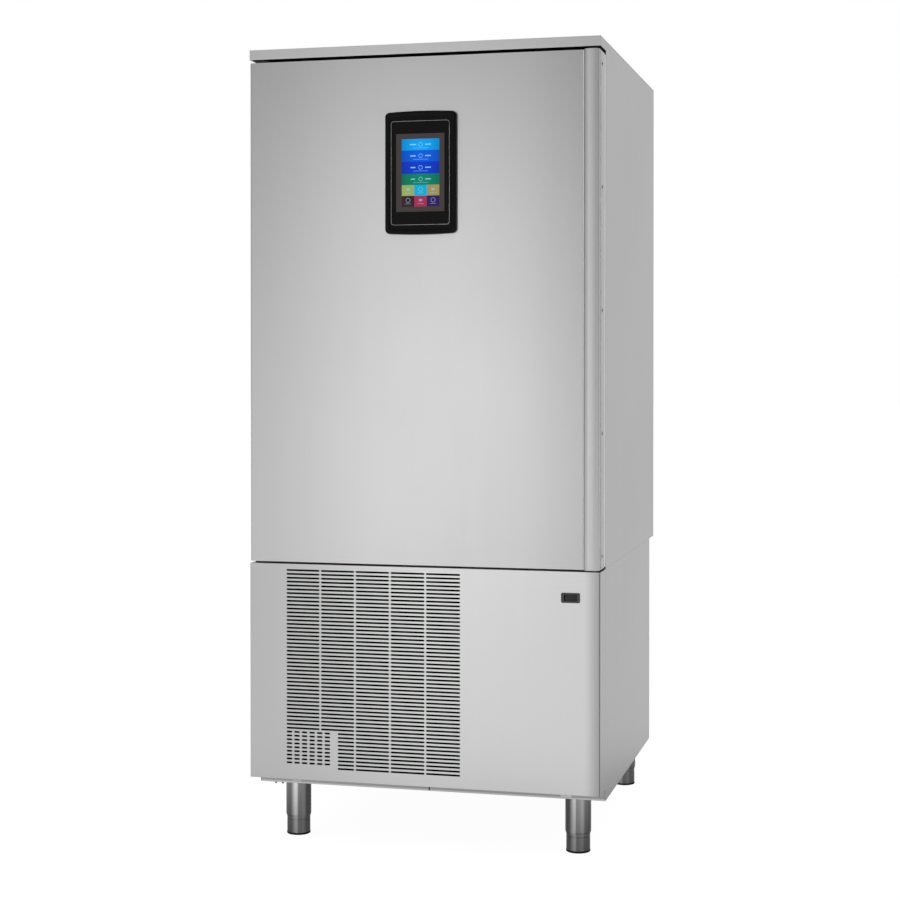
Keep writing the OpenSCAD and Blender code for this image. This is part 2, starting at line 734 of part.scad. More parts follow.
// Air slots: long ones in columns, and a field of short ones in the corner.
module slot_field() {
  x0 = -half_w + slot_in;
  short_first = slot_rows - 10;
  short_end = x0 + (short_cols - 1) * short_pitch + short_w;
  for (row = [0:slot_rows - 1]) {
    z = cover_z1 - slot_drop - row * row_pitch - slot_h / 2;
    for (col = [0:slot_cols - 1]) {
      x = x0 + col * (slot_w + slot_web);
      beside = row >= short_first && x < short_end;
      from = beside ? max(x, short_end + short_pitch) : x;
      if (from < x + slot_w - short_w) translate([from, z]) square([x + slot_w - from, slot_h]);
    }
    if (row >= short_first && row < short_first + short_rows)
      for (i = [0:short_cols - 1]) translate([x0 + i * short_pitch, z]) square([short_w, slot_h]);
  }
}

module front_cover() color(steel) {
  tab_w = 24;
  difference() {
    translate([0, 0, cover_z0]) linear_extrude(cover_z1 - cover_z0) cover_plan(0);
    translate([0, 0, cover_z0 + sheet]) linear_extrude(cover_z1 - cover_z0 - 2 * sheet) cover_plan(sheet);
    upright(door_y - cut, sheet + 2 * cut) slot_field();
    block(switch_x - rocker_w / 2 - 3, switch_x + rocker_w / 2 + 3, door_y - cut, door_y + sheet + cut,
      switch_z - rocker_h / 2 - 2, switch_z + rocker_h / 2 + 2);
    block(hinge_x - plate_reach - 1, hinge_x + plate_reach + 1, frame_y - lower_plate_t - 1, frame_y + cut,
      cover_z1 - 2 * sheet, cover_z1 + cut);
  }
  for (x = [-cover_screw_x, cover_screw_x])
    block(x - tab_w / 2, x + tab_w / 2, cover_y1 - sheet, cover_y1, leg_h + 4, cover_z0 + sheet);
}

module cover_screws() color(liner_steel) {
  for (x = [-cover_screw_x, cover_screw_x])
    along_y(x, cover_y1 - sheet - 2.5, cover_y1 - sheet, cover_z0 - 12, cover_screw_r);
}

module leg_tube(x, y) difference() {
  union() {
    post(x, y, foot_show + tube_cone, leg_h, leg_r);
    translate([x, y, foot_show]) cylinder(h = tube_cone, r1 = foot_r + foot_clear + tube_mouth, r2 = leg_r);
  }
  post(x, y, foot_show - cut, leg_h - 6, foot_r + foot_clear);
}

module leg_tubes() color(steel) {
  for (x = [-leg_x, leg_x], y = [front_leg_y, rear_leg_y]) leg_tube(x, y);
}

// A foot turns in its tube; a ring is cut round it and its sole is chamfered.
module foot(x, y) color(steel) translate([x, y, 0]) rotate_extrude() {
  ring_z = foot_show - foot_ring;
  sole = 3;
  polygon([
    [0, 0], [foot_r - sole, 0], [foot_r, sole], [foot_r, ring_z - 1], [foot_r - 0.8, ring_z - 0.5],
    [foot_r - 0.8, ring_z + 0.5], [foot_r, ring_z + 1], [foot_r, foot_show + foot_in], [0, foot_show + foot_in]
  ]);
}

module compressor() color(black) {
  dome = 40;
  plate_x = compressor_r + compressor_plate;
  plate_y = 70;
  translate([compressor_x, compressor_y, compressor_z]) {
    rotate_extrude() polygon(concat([[0, 0], [compressor_r - 8, 0], [compressor_r, 8]],
      [for (i = [0:6]) let (a = 90 * i / 6)
        [compressor_r * (0.45 + 0.55 * cos(a)), compressor_h - dome + dome * sin(a)]],
      [[0, compressor_h]]));
    difference() {
      translate([-plate_x, -plate_y, -4]) cube([2 * plate_x, 2 * plate_y, 4]);
      for (x = [-1, 1], y = [-1, 1])
        translate([x * (plate_x - 14), y * (plate_y - 14), -5]) cylinder(h = 6, r = 5);
    }
    translate([-30, -compressor_r - 22, 100]) cube([60, 40, 70]);
  }
}

module compressor_mounts() color(rubber_grey) {
  for (x = [-1, 1], y = [-1, 1])
    translate([compressor_x + x * (compressor_r - 10), compressor_y + y * 56, tray_top]) {
      cylinder(h = rubber_h, r = 13);
      cylinder(h = rubber_h + 10, r = 4);
    }
}

module condenser_coil() finned_coil(condenser_x0 + end_plate / 2, condenser_x1 - end_plate / 2, condenser_y,
  shroud_y, condenser_z0 + rail_h + 2, condenser_z1, condenser_z0, shroud_y);

module fan_shroud() color(steel) {
  z1 = condenser_z1;
  difference() {
    block(condenser_x0, condenser_x1, shroud_y, collar_y, condenser_z0, z1);
    block(condenser_x0 + sheet, condenser_x1 - sheet, shroud_y - cut, collar_y - sheet,
      condenser_z0 + sheet, z1 - sheet);
    along_y(condenser_fan_x, shroud_y, collar_y + cut, condenser_fan_z, condenser_fan_r);
  }
  difference() {
    along_y(condenser_fan_x, collar_y - sheet, collar_y + collar_d, condenser_fan_z, condenser_fan_r + sheet);
    along_y(condenser_fan_x, collar_y - 2 * cut, collar_y + collar_d + cut, condenser_fan_z, condenser_fan_r);
  }
}

module condenser_fan_motor() color(rubber_grey)
  fan_motor(condenser_fan_x, collar_y + collar_d, condenser_fan_z, condenser_fan_r);

module liquid_receiver() color(black) {
  dome = receiver_r * 0.5;
  translate([receiver_x1, receiver_y, receiver_z]) rotate([0, -90, 0]) rotate_extrude() polygon(concat([[0, 0]],
    [for (i = [0:5]) let (a = 90 - 90 * i / 5) [receiver_r * cos(a), dome - dome * sin(a)]],
    [for (i = [0:5]) let (a = 90 * i / 5) [receiver_r * cos(a), receiver_l - dome + dome * sin(a)]]));
  for (x = [receiver_x1 - 60, receiver_x1 - receiver_l + 60])
    block(x - 2, x + 2, receiver_y - 30, receiver_y + 30, tray_top, receiver_z - receiver_r * 0.7);
}

module filter_drier() color(steel) translate([drier_x, receiver_y, 0]) rotate_extrude() polygon([
  [0, drier_z0], [liquid_r + 2, drier_z0], [liquid_r + 2, drier_z0 + 6], [22, drier_z0 + 18],
  [22, drier_z1 - 18], [liquid_r + 2, drier_z1 - 6], [liquid_r + 2, drier_z1], [0, drier_z1]
]);

module refrigerant_lines() color(copper) {
  coil_mid = condenser_y + condenser_d / 2;
  down_x = condenser_x1 + liquid_r + 2;
  coil_z = chamber_z0 + coil_lift + 60;
  // discharge: compressor to condenser
  pipe([[compressor_x, compressor_y, compressor_top], [compressor_x, compressor_y, compressor_top + 60],
    [compressor_x, coil_mid, compressor_top + 60], [condenser_x1, coil_mid, compressor_top + 60]], liquid_r);
  // liquid: condenser to receiver
  pipe([[condenser_x1, coil_mid, receiver_z], [down_x + 4, coil_mid, receiver_z],
    [down_x + 4, receiver_y, receiver_z], [receiver_x1, receiver_y, receiver_z]], liquid_r);
  // receiver to drier, and drier to evaporator
  pipe([[drier_x, receiver_y, receiver_z + receiver_r], [drier_x, receiver_y, drier_z0]], liquid_r);
  pipe([[drier_x, receiver_y, drier_z1], [drier_x, receiver_y, line_z], [liquid_x, receiver_y, line_z],
    [liquid_x, liquid_y, line_z], [liquid_x, liquid_y, coil_z], [coil_end_x, liquid_y, coil_z]], liquid_r);
  // suction: evaporator to compressor
  pipe([[coil_end_x, suction_y, coil_z + 120], [suction_x, suction_y, coil_z + 120],
    [suction_x, suction_y, line_z - 50], [compressor_x, suction_y, line_z - 50],
    [compressor_x, suction_y, compressor_z + 120],
    [compressor_x, compressor_y + compressor_r, compressor_z + 120]], suction_r);
}

module electrical_box() color(steel) {
  x1 = half_w - sheet;
  y0 = frame_y + box_in;
  z1 = split_z - box_drop;
  difference() {
    block(x1 - box_w, x1, y0, y0 + box_d, z1 - box_h, z1);
    block(x1 - box_w + sheet, x1 + cut, y0 + sheet, y0 + box_d - sheet, z1 - box_h + sheet, z1 - sheet);
  }
}

module cable_gland() color(black) difference() {
  union() {
    along_y(gland_x, base_y - sheet - 12, base_y, gland_z, gland_bore + 3);
    along_y(gland_x, base_y - sheet - 6, base_y - sheet, gland_z, gland_bore + 7);
    translate([gland_x, base_y, gland_z]) rotate([-90, 0, 0]) {
      cylinder(h = 7, r = gland_bore + 8, $fn = 6);
      cylinder(h = 20, r1 = gland_bore + 6, r2 = gland_bore + 4);
    }
  }
  along_y(gland_x, base_y - 20, base_y + 30, gland_z, gland_bore);
}

module switch_frame() color(black) difference() {
  union() {
    block(switch_x - switch_w / 2, switch_x + switch_w / 2, door_y - 2, door_y,
      switch_z - switch_h / 2, switch_z + switch_h / 2);
    block(switch_x - rocker_w / 2 - 2.5, switch_x + rocker_w / 2 + 2.5, door_y - 1, door_y + 22,
      switch_z - rocker_h / 2 - 1.5, switch_z + rocker_h / 2 + 1.5);
  }
  block(switch_x - rocker_w / 2 - 0.4, switch_x + rocker_w / 2 + 0.4, door_y - 3, door_y + 20,
    switch_z - rocker_h / 2 - 0.4, switch_z + rocker_h / 2 + 0.4);
}

// The rocker's two faces meet over its pivot; its right end is pressed in.
module mains_rocker() color(black) translate([switch_x, door_y + 6, switch_z - rocker_h / 2])
  rotate([0, 0, rocker_tilt]) linear_extrude(rocker_h) polygon(concat(
    [[-rocker_w / 2 + 1, -5], [0, -3.5], [rocker_w / 2 - 1, -5]],
    arc(0, 0, rocker_w / 2 - 1, 5, 175, 10)));

// ---- door ----

module door_plan(inset) {
  r = bend_r - (inset > 0 ? sheet : 0);
  y1 = door_back_y - liner_t + (inset > 0 ? cut : 0);
  polygon(concat([[grip_x - inset, y1], [door_x0 + inset, y1]],
    arc(door_x0 + inset + r, door_y + inset + r, r, 180, 270, 4), [[grip_x - inset, door_y + inset]]));
}

module bush_holes(extra) {
  post(hinge_x, hinge_y, door_z1 - bush_l - extra, door_z1 + cut, bush_r + extra);
  post(hinge_x, hinge_y, door_z0 - cut, door_z0 + bush_l + extra, bush_r + extra);
}

module display_hole(gap) block(display_x - display_box_w / 2 - gap, display_x + display_box_w / 2 + gap,
  door_y - cut, door_y + display_box_d + gap, display_z - display_box_h / 2 - gap,
  display_z + display_box_h / 2 + gap);

module door_skin() color(steel) difference() {
  translate([0, 0, door_z0]) linear_extrude(door_h) door_plan(0);
  translate([0, 0, door_z0 + sheet]) linear_extrude(door_h - 2 * sheet) door_plan(sheet);
  display_hole(0.5);
  bush_holes(0.05);
}

module door_foam() color(foam_yellow) difference() {
  block(door_x0 + sheet, grip_x - sheet, door_y + bend_r, door_back_y - liner_t, door_z0 + sheet, door_z1 - sheet);
  display_hole(0.5);
  bush_holes(0.5);
}

// The raised middle is a shallow pressed tray, so the panel stays one sheet.
module door_inner_panel() color(liner_steel) {
  x = gasket_x - gasket_w - plinth_in;
  z0 = gasket_z0 + gasket_w + plinth_in;
  z1 = gasket_z1 - gasket_w - plinth_in;
  difference() {
    union() {
      block(door_x0, door_x1, door_back_y - liner_t, door_back_y, door_z0, door_z1);
      hull() {
        block(-x, x, door_back_y - liner_t, door_back_y, z0, z1);
        block(-x + plinth_h, x - plinth_h, door_back_y, door_back_y + plinth_h, z0 + plinth_h, z1 - plinth_h);
      }
    }
    hull() {
      block(-x + liner_t, x - liner_t, door_back_y - 2 * liner_t, door_back_y - liner_t, z0 + liner_t, z1 - liner_t);
      block(-x + plinth_h + liner_t, x - plinth_h - liner_t, door_back_y - 2 * liner_t,
        door_back_y + plinth_h - liner_t, z0 + plinth_h + liner_t, z1 - plinth_h - liner_t);
    }
  }
}

// A ring of gasket section, laid round the door's inner panel.
module gasket_ring(inset, width, y0, y1) difference() {
  block(-gasket_x + inset, gasket_x - inset, y0, y1, gasket_z0 + inset, gasket_z1 - inset);
  block(-gasket_x + inset + width, gasket_x - inset - width, y0 - cut, y1 + cut,
    gasket_z0 + inset + width, gasket_z1 - inset - width);
}

module door_gasket() color(rubber_grey) {
  foot_t = 3;
  gasket_ring(0, gasket_w, door_back_y, door_back_y + foot_t);
  gasket_ring(5, gasket_w - 12, door_back_y + foot_t, frame_y - gasket_clear - 1.5);
  gasket_ring(3, gasket_w - 6, frame_y - gasket_clear - 1.5, frame_y - gasket_clear);
}

// The grip: a bowed band in front, a finger pocket open to the side behind it,
// and a closed cell that fills the rest of the door's edge.
module handle_section() {
  w = handle_w;
  t = handle_wall;
  lip = 2;
  pocket_y = lip + grip_gap;
  rear = door_t - liner_t;
  difference() {
    polygon(concat(
      [[0, lip]], bow(-bow_w / 2, bow_w / 2, handle_proud, 24), [[-bow_w - handle_groove / 2, lip]],
      arc(-w + handle_bead / 2, lip / 2, handle_bead / 2, 0, -180, 6),
      [[-w, rear], [0, rear], [0, pocket_y], [-bow_w + t, pocket_y], [-bow_w + t, lip]],
      reversed(bow(-bow_w / 2, bow_w / 2 - t, handle_proud - t, 24)), [[-t, lip]]
    ));
    translate([-w + t, pocket_y + t]) square([w - 2 * t, rear - pocket_y - 2 * t]);
  }
}

module handle_profile() color(steel) translate([door_x1, door_y, door_z0 + end_cap_t])
  linear_extrude(door_h - 2 * end_cap_t) handle_section();

// End caps follow the outline of the profile and close its cell and its band.
module handle_end_caps() color(steel) {
  for (z = [door_z0, door_z1 - end_cap_t]) translate([door_x1, door_y, z]) linear_extrude(end_cap_t)
    polygon(concat(bow(-bow_w / 2, bow_w / 2, handle_proud, 24),
      [[-handle_w, 0], [-handle_w, door_t - liner_t], [0, door_t - liner_t]]));
}

module handle_screws() color(liner_steel) {
  span = door_h - 2 * side_screw_in;
  for (i = [0:side_screws - 1]) translate([door_x1, door_y + 30, door_z0 + side_screw_in + span * i / (side_screws - 1)])
    rotate([0, 90, 0]) difference() {
      cylinder(h = 1.2, r1 = side_screw_r, r2 = side_screw_r - 1);
      translate([0, 0, 0.6]) cylinder(h = 2, r = 1.4, $fn = 6);
    }
}

module hinge_bushes() color(rubber_grey) difference() {
  union() {
    post(hinge_x, hinge_y, door_z1 - bush_l, door_z1, bush_r);
    post(hinge_x, hinge_y, door_z1, door_z1 + 1.5, bush_r + 4);
    post(hinge_x, hinge_y, door_z0, door_z0 + bush_l, bush_r);
  }
  post(hinge_x, hinge_y, door_z1 - pin_l - hairline, door_z1 + 2 * cut, pin_r + pin_clear);
  post(hinge_x, hinge_y, door_z0 - cut, door_z0 + pin_l + hairline, pin_r + pin_clear);
}

// ---- controller ----

// The housing's outline: straight sides, bowed ends and rounded corners.
module display_outline(inset) {
  w = display_w / 2 - inset;
  h = display_h / 2 - inset;
  c = display_corner;
  n = 10;
  side_bow = [for (i = [1:n - 1]) let (t = 2 * i / n - 1) [(w - c) * t, display_bow * (1 - t * t)]];
  polygon(concat(
    arc(w - c, h - c, c, 0, 80, 4), [for (p = reversed(side_bow)) [p[0], h + p[1]]],
    arc(-w + c, h - c, c, 100, 180, 4), arc(-w + c, -h + c, c, 180, 260, 4),
    [for (p = side_bow) [p[0], -h - p[1]]], arc(w - c, -h + c, c, 280, 360, 4)));
}

module display_housing() color(black) {
  step = 3;
  recess = 1.5;
  translate([display_x, 0, display_z]) difference() {
    union() {
      upright(door_y - display_proud + step, display_proud - step) display_outline(0);
      for (i = [1:step]) upright(door_y - display_proud + step - i, 1) display_outline(i * i / 3);
      block(-display_box_w / 2, display_box_w / 2, door_y - cut, door_y + display_box_d,
        -display_box_h / 2, display_box_h / 2);
    }
    upright(door_y - display_proud - cut, recess + cut) display_outline(11);
    block(-screen_w / 2 - 0.2, screen_w / 2 + 0.2, door_y - display_proud - cut,
      door_y - display_proud + recess + screen_t, -screen_h / 2 - 0.2, screen_h / 2 + 0.2);
    block(-screen_w / 2 + 4, screen_w / 2 - 4, door_y - display_proud, door_y + display_box_d - display_wall,
      -screen_h / 2 + 4, screen_h / 2 - 4);
  }
}

module display_screen() color([0.05, 0.16, 0.45])
  block(display_x - screen_w / 2, display_x + screen_w / 2, door_y - display_proud + 1.5,
    door_y - display_proud + 1.5 + screen_t, display_z - screen_h / 2, display_z + screen_h / 2);

// The controller's board stands on four pillars on the floor of the housing.
module display_board() color([0.10, 0.36, 0.20]) {
  floor_y = door_y + display_box_d - display_wall;
  w = screen_w / 2 - 8;
  h = screen_h / 2 - 8;
  translate([display_x, 0, display_z]) {
    block(-w, w, floor_y - 10, floor_y - 8.4, -h, h);
    for (x = [-w + 6, w - 6], z = [-h + 6, h - 6]) along_y(x, floor_y - 8.4, floor_y, z, 3);
    block(-30, 10, floor_y - 16, floor_y - 10, -20, 20);
    block(20, 36, floor_y - 20, floor_y - 10, -50, -10);
  }
}

top_cap();
side_panel(-1);  // side_panel_left
side_panel(1);  // side_panel_right
back_panel();
cabinet_underside();
insulation_foam();
liner_side(-1);  // liner_left
liner_side(1);  // liner_right
liner_back();
liner_top();
liner_floor();
front_frame();
upper_hinge_bracket();
lower_hinge_bracket();
evaporator_coil();
fan_panel();
fan_guards();
fan_motors();
rack_posts();
pan_slides(-1);  // pan_slides_left
pan_slides(1);  // pan_slides_right
chamber_drain();
base_side(-1);  // base_side_left
base_side(1);  // base_side_right
base_back_panel();
base_tray();
base_rails();
front_cover();
cover_screws();
leg_tubes();
compressor();
compressor_mounts();
condenser_coil();
fan_shroud();
condenser_fan_motor();
liquid_receiver();
filter_drier();
refrigerant_lines();
electrical_box();
cable_gland();
switch_frame();
door_skin();
door_foam();
door_inner_panel();
door_gasket();
handle_profile();
handle_end_caps();
handle_screws();
hinge_bushes();
display_housing();
display_board();
display_screen();
mains_rocker();
fan_rotor(0, fan_y + collar_d, upper_fan_z, fan_r - tip_gap);  // upper_fan_rotor
fan_rotor(0, fan_y + collar_d, lower_fan_z, fan_r - tip_gap);  // lower_fan_rotor
fan_rotor(condenser_fan_x, collar_y + collar_d, condenser_fan_z, condenser_fan_r - tip_gap);  // condenser_fan_rotor
foot(-leg_x, front_leg_y);  // foot_front_left
foot(leg_x, front_leg_y);  // foot_front_right
foot(-leg_x, rear_leg_y);  // foot_rear_left
foot(leg_x, rear_leg_y);  // foot_rear_right
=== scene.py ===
import json
import math
import bmesh
import bpy
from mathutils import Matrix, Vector


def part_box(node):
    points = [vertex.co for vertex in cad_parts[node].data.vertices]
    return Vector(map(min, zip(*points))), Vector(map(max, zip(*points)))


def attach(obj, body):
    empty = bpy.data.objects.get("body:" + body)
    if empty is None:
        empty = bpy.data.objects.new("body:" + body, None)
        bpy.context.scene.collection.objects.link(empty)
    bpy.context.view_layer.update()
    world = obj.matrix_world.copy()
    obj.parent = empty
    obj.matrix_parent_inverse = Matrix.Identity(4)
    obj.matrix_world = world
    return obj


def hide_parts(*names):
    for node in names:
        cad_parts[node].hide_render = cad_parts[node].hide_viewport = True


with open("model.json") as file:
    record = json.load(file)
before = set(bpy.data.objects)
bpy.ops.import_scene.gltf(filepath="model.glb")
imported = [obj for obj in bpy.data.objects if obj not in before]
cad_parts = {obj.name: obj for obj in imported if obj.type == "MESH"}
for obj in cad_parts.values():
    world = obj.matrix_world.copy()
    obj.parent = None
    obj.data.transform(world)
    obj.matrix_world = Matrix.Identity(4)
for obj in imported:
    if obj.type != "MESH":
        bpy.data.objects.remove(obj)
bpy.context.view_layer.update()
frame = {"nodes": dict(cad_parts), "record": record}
scene = bpy.context.scene
bodyOf = {node: body for body, members in frame["record"]["behaviour"]["bodies"].items() for node in members}
print("frame loaded:", len(frame["nodes"]), "nodes")


class Wire:  # a socket that takes part in sums
    def __init__(self, graph, socket):
        self.graph, self.socket = graph, socket

    def sum(self, operation, *terms):
        return self.graph.sum(operation, *terms)

    def __add__(self, other):
        return self.sum("ADD", self, other)

    def __radd__(self, other):
        return self.sum("ADD", other, self)

    def __sub__(self, other):
        return self.sum("SUBTRACT", self, other)

    def __rsub__(self, other):
        return self.sum("SUBTRACT", other, self)

    def __mul__(self, other):
        return self.sum("MULTIPLY", self, other)

    def __truediv__(self, other):
        return self.sum("DIVIDE", self, other)

    def __abs__(self):
        return self.sum("ABSOLUTE", self)

    def __lt__(self, other):
        return self.sum("LESS_THAN", self, other)

    def __gt__(self, other):
        return self.sum("GREATER_THAN", self, other)


class Graph:  # a node tree; add() makes a node from its type, settings and socket values
    def __init__(self, tree):
        self.tree = tree

    def add(self, kind, settings=None, values=None, out=0):
        node = self.tree.nodes.new(kind)
        for name, value in (settings or {}).items():
            if name == "stops":
                ramp = node.color_ramp.elements
                while len(ramp) < len(value):
                    ramp.new(0.5)
                for stop, (place, grey) in zip(ramp, value):
                    stop.position, stop.color = place, (grey, grey, grey, 1)
            else:
                setattr(node, name, value)
        for name, value in (values or {}).items():
            socket = node.inputs[name]
            if isinstance(value, Wire):
                self.tree.links.new(value.socket, socket)
            else:
                socket.default_value = value
        return Wire(self, node.outputs[out]) if len(node.outputs) else node

    def sum(self, operation, *terms):
        return self.add("ShaderNodeMath", {"operation": operation}, dict(enumerate(terms)))

    def axes(self, vector):  # the three parts of a vector
        parts = self.add("ShaderNodeSeparateXYZ", None, {0: vector}).socket.node.outputs
        return [Wire(self, part) for part in parts]

    def ease(self, wire, start, end):  # 0 before start, 1 after end, smooth between
        return self.add("ShaderNodeMapRange", {"interpolation_type": "SMOOTHSTEP"},
                        {"Value": wire, "From Min": start, "From Max": end})


class Finish(Graph):  # one material
    def __init__(self, name, look):
        self.material = bpy.data.materials.new(name)
        self.material.use_nodes = True
        super().__init__(self.material.node_tree)
        self.shader = self.tree.nodes["Principled BSDF"]
        for socket, value in look.items():
            self.shader.inputs[socket].default_value = value

    def coordinates(self, kind="Object"):
        return self.add("ShaderNodeTexCoord", out=kind)

    def point(self, scale):
        return self.add("ShaderNodeMapping", None, {"Vector": self.coordinates(), "Scale": scale})

    def noise(self, scale, detail=3.0, roughness=0.5):
        return self.add("ShaderNodeTexNoise", None,
                        {"Vector": self.point(scale), "Scale": 1.0, "Detail": detail, "Roughness": roughness})

    def blend(self, amount, first, second):
        node = self.tree.nodes.new("ShaderNodeMix")
        node.data_type = "RGBA"
        for slot, value in ((0, amount), (6, first), (7, second)):
            if isinstance(value, Wire):
                self.tree.links.new(value.socket, node.inputs[slot])
            else:
                node.inputs[slot].default_value = value if slot == 0 else (*value, 1)
        return Wire(self, node.outputs[2])

    def shade(self, colour, wire):  # the colour, lighter or darker by a wire around 1
        grey = self.add("ShaderNodeCombineXYZ", None, {0: wire, 1: wire, 2: wire})
        return self.add("ShaderNodeVectorMath", {"operation": "MULTIPLY"}, {0: grey, 1: colour})

    def feed(self, **wires):
        names = {"colour": "Base Color", "roughness": "Roughness", "glow": "Emission Color"}
        for name, wire in wires.items():
            self.tree.links.new(wire.socket, self.shader.inputs[names[name]])

    def bump(self, height, strength, distance):
        made = self.add("ShaderNodeBump", None,
                        {"Strength": strength, "Distance": distance, "Height": height})
        self.tree.links.new(made.socket, self.shader.inputs["Normal"])


class Recipe(Graph):  # one Geometry Nodes tree with named inputs
    def __init__(self, name, inputs):
        super().__init__(bpy.data.node_groups.new(name, "GeometryNodeTree"))
        face = self.tree.interface
        face.new_socket("Geometry", in_out="INPUT", socket_type="NodeSocketGeometry")
        for label, value in inputs.items():
            kind = ("NodeSocketVector" if isinstance(value, tuple) else
                    "NodeSocketInt" if isinstance(value, int) else "NodeSocketFloat")
            face.new_socket(label, in_out="INPUT", socket_type=kind).default_value = value
        face.new_socket("Material", in_out="INPUT", socket_type="NodeSocketMaterial")
        face.new_socket("Geometry", in_out="OUTPUT", socket_type="NodeSocketGeometry")
        self.start = self.tree.nodes.new("NodeGroupInput")
        self.end = self.tree.nodes.new("NodeGroupOutput")

    def put(self, label):
        return Wire(self, self.start.outputs[label])

    def join(self, *parts):
        node = self.tree.nodes.new("GeometryNodeJoinGeometry")
        for part in parts:
            self.tree.links.new(part.socket, node.inputs[0])
        return Wire(self, node.outputs[0])

    def close(self, geometry):
        real = self.add("GeometryNodeRealizeInstances", None, {0: geometry})
        done = self.add("GeometryNodeSetMaterial", None, {"Geometry": real, "Material": self.put("Material")})
        self.tree.links.new(done.socket, self.end.inputs[0])
        return self


def settle(piece, body, replaced=()):
    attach(piece, body)
    if replaced:
        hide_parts(*replaced)


def smoothed(mesh, angle):  # smooth, but for edges that turn by more degrees than the angle
    mesh.shade_smooth()
    mesh.set_sharp_from_angle(angle=math.radians(angle))


def evaluated(piece):  # the piece's mesh with its modifiers worked in
    return bpy.data.meshes.new_from_object(piece.evaluated_get(bpy.context.evaluated_depsgraph_get()))


def cook(recipe, name, body, finish, values, places=(), smooth=None):
    start = bpy.data.meshes.new(name + "Places")
    start.from_pydata(list(places), [], [])
    piece = bpy.data.objects.new(name, start)
    scene.collection.objects.link(piece)
    modifier = piece.modifiers.new("recipe", "NODES")
    modifier.node_group = recipe.tree
    items = recipe.tree.interface.items_tree
    names = {item.name: item.identifier for item in items if item.in_out == "INPUT"}
    for label, value in {**values, "Material": finish.material}.items():
        modifier[names[label]] = value
    bpy.context.view_layer.update()
    mesh = evaluated(piece)
    piece.modifiers.clear()
    piece.data = mesh
    mesh.name = name
    if smooth is not None:
        smoothed(mesh, smooth)
    settle(piece, body)


def pieceFrom(work, name, finishes, body, replaced=(), smooth=None):
    mesh = bpy.data.meshes.new(name)
    work.to_mesh(mesh)
    work.free()
    for finish in finishes:
        mesh.materials.append(finish.material)
    if smooth is not None:
        smoothed(mesh, smooth)
    piece = bpy.data.objects.new(name, mesh)
    scene.collection.objects.link(piece)
    settle(piece, body, replaced)
    return piece


def loft(work, rings, capped=False, looped=False):  # skins rings of equal length; returns their vertices
    rows = [[work.verts.new(point) for point in ring] for ring in rings]
    pairs = list(zip(rows, rows[1:])) + ([(rows[-1], rows[0])] if looped else [])
    for low, high in pairs:
        for i in range(len(low)):
            j = (i + 1) % len(low)
            work.faces.new((low[i], low[j], high[j], high[i]))
    if capped:
        work.faces.new(rows[0])
        work.faces.new(rows[-1])
    return rows


merge = 1e-6  # metres under which two vertices become one
same = 1e-5  # metres under which two coordinates count as equal


def pointOutwards(work):
    bmesh.ops.remove_doubles(work, verts=work.verts, dist=merge)
    bmesh.ops.recalc_face_normals(work, faces=work.faces)
    return work


# Finishes: brushed sheet with painted light and shade, drawn tube with painted reflection streaks, moulded
# plastic, paint, foam and bare metal, on Object coordinates.
# A noise's scale is in cycles to the metre, and a bump's distance is in metres.

brushed = {"along": 5.0, "across": 620.0, "broadAlong": 0.8, "broadAcross": 30.0, "cloud": (2.6, 2.6, 1.7),
           "broadShare": 0.7, "fineRough": 0.10, "cloudRough": 0.06, "broadHeight": 0.4, "distance": 0.0004,
           "blackening": 0.985}


def steelFinish(name, tone, roughness, grain, streak=0.04, cloud=0.03, bump=0.05,
                sweep=None, rise=None, breaker=None):
    made = Finish(name, {"Metallic": 1.0, "Roughness": roughness})
    look = brushed
    fine = made.noise([look["along" if axis == grain else "across"] for axis in "xyz"], 3.0, 0.6)
    broad = made.noise([look["broadAlong" if axis == grain else "broadAcross"] for axis in "xyz"], 3.0, 0.5)
    soft = made.noise(look["cloud"], 2.0)
    x, _, z = made.axes(made.coordinates())
    level = 1 + (fine - 0.5) * streak + (broad - 0.5) * streak * look["broadShare"] + (soft - 0.5) * cloud
    for start, end, change in sweep or []:  # painted light and shade across the sheet: each step is from x, to x, change
        level = level * (1 + made.ease(x, start, end) * change)
    if rise:  # and painted shade up the sheet
        start, end, change = rise
        level = level * (1 + made.ease(z, start, end) * change)
    if breaker:  # painted shade: near black below and above two heights, in the gaps over and under the door
        below, above = breaker
        level = level * (1 - ((z < below) + (z > above)) * look["blackening"])
    made.feed(colour=made.shade(tone, level),
              roughness=roughness + (fine - 0.5) * look["fineRough"] + (soft - 0.5) * look["cloudRough"])
    made.bump(fine + broad * look["broadHeight"], bump, look["distance"])
    return made


drawn = {"grain": (700, 700, 6), "swing": 23, "least": 0.94, "mottle": 0.12, "fineRough": 0.08, "depth": 0.06}
fineDistance = 0.0003  # of the bump in all the finer finishes


def tubeFinish(name, dark, bright, roughness, glints):
    made = Finish(name, {"Metallic": 1.0, "Roughness": roughness})
    fine = made.noise(drawn["grain"], 3.0, 0.6)
    faceX, faceY, _ = made.axes(made.coordinates("Normal"))
    x = made.axes(made.coordinates())[0]
    # The way that the wall faces, in degrees, swung round by so many for each metre of x, so that the painted
    # reflections fall differently on each leg.
    bearing = made.sum("ARCTAN2", faceX, faceY * -1) * math.degrees(1) + x * drawn["swing"]
    glint = 0.0
    for rise, full, fall, gone, weight in glints:  # painted reflections: bright streaks along the tube
        glint = glint + made.ease(bearing, rise, full) * (1 - made.ease(bearing, fall, gone)) * weight
    made.feed(colour=made.shade(made.blend(glint, dark, bright), drawn["least"] + fine * drawn["mottle"]),
              roughness=roughness + (fine - 0.5) * drawn["fineRough"])
    made.bump(fine, drawn["depth"], fineDistance)
    return made


moulded = {"wear": (9, 9, 9), "least": 0.9, "mottle": 0.2, "polish": 0.06}


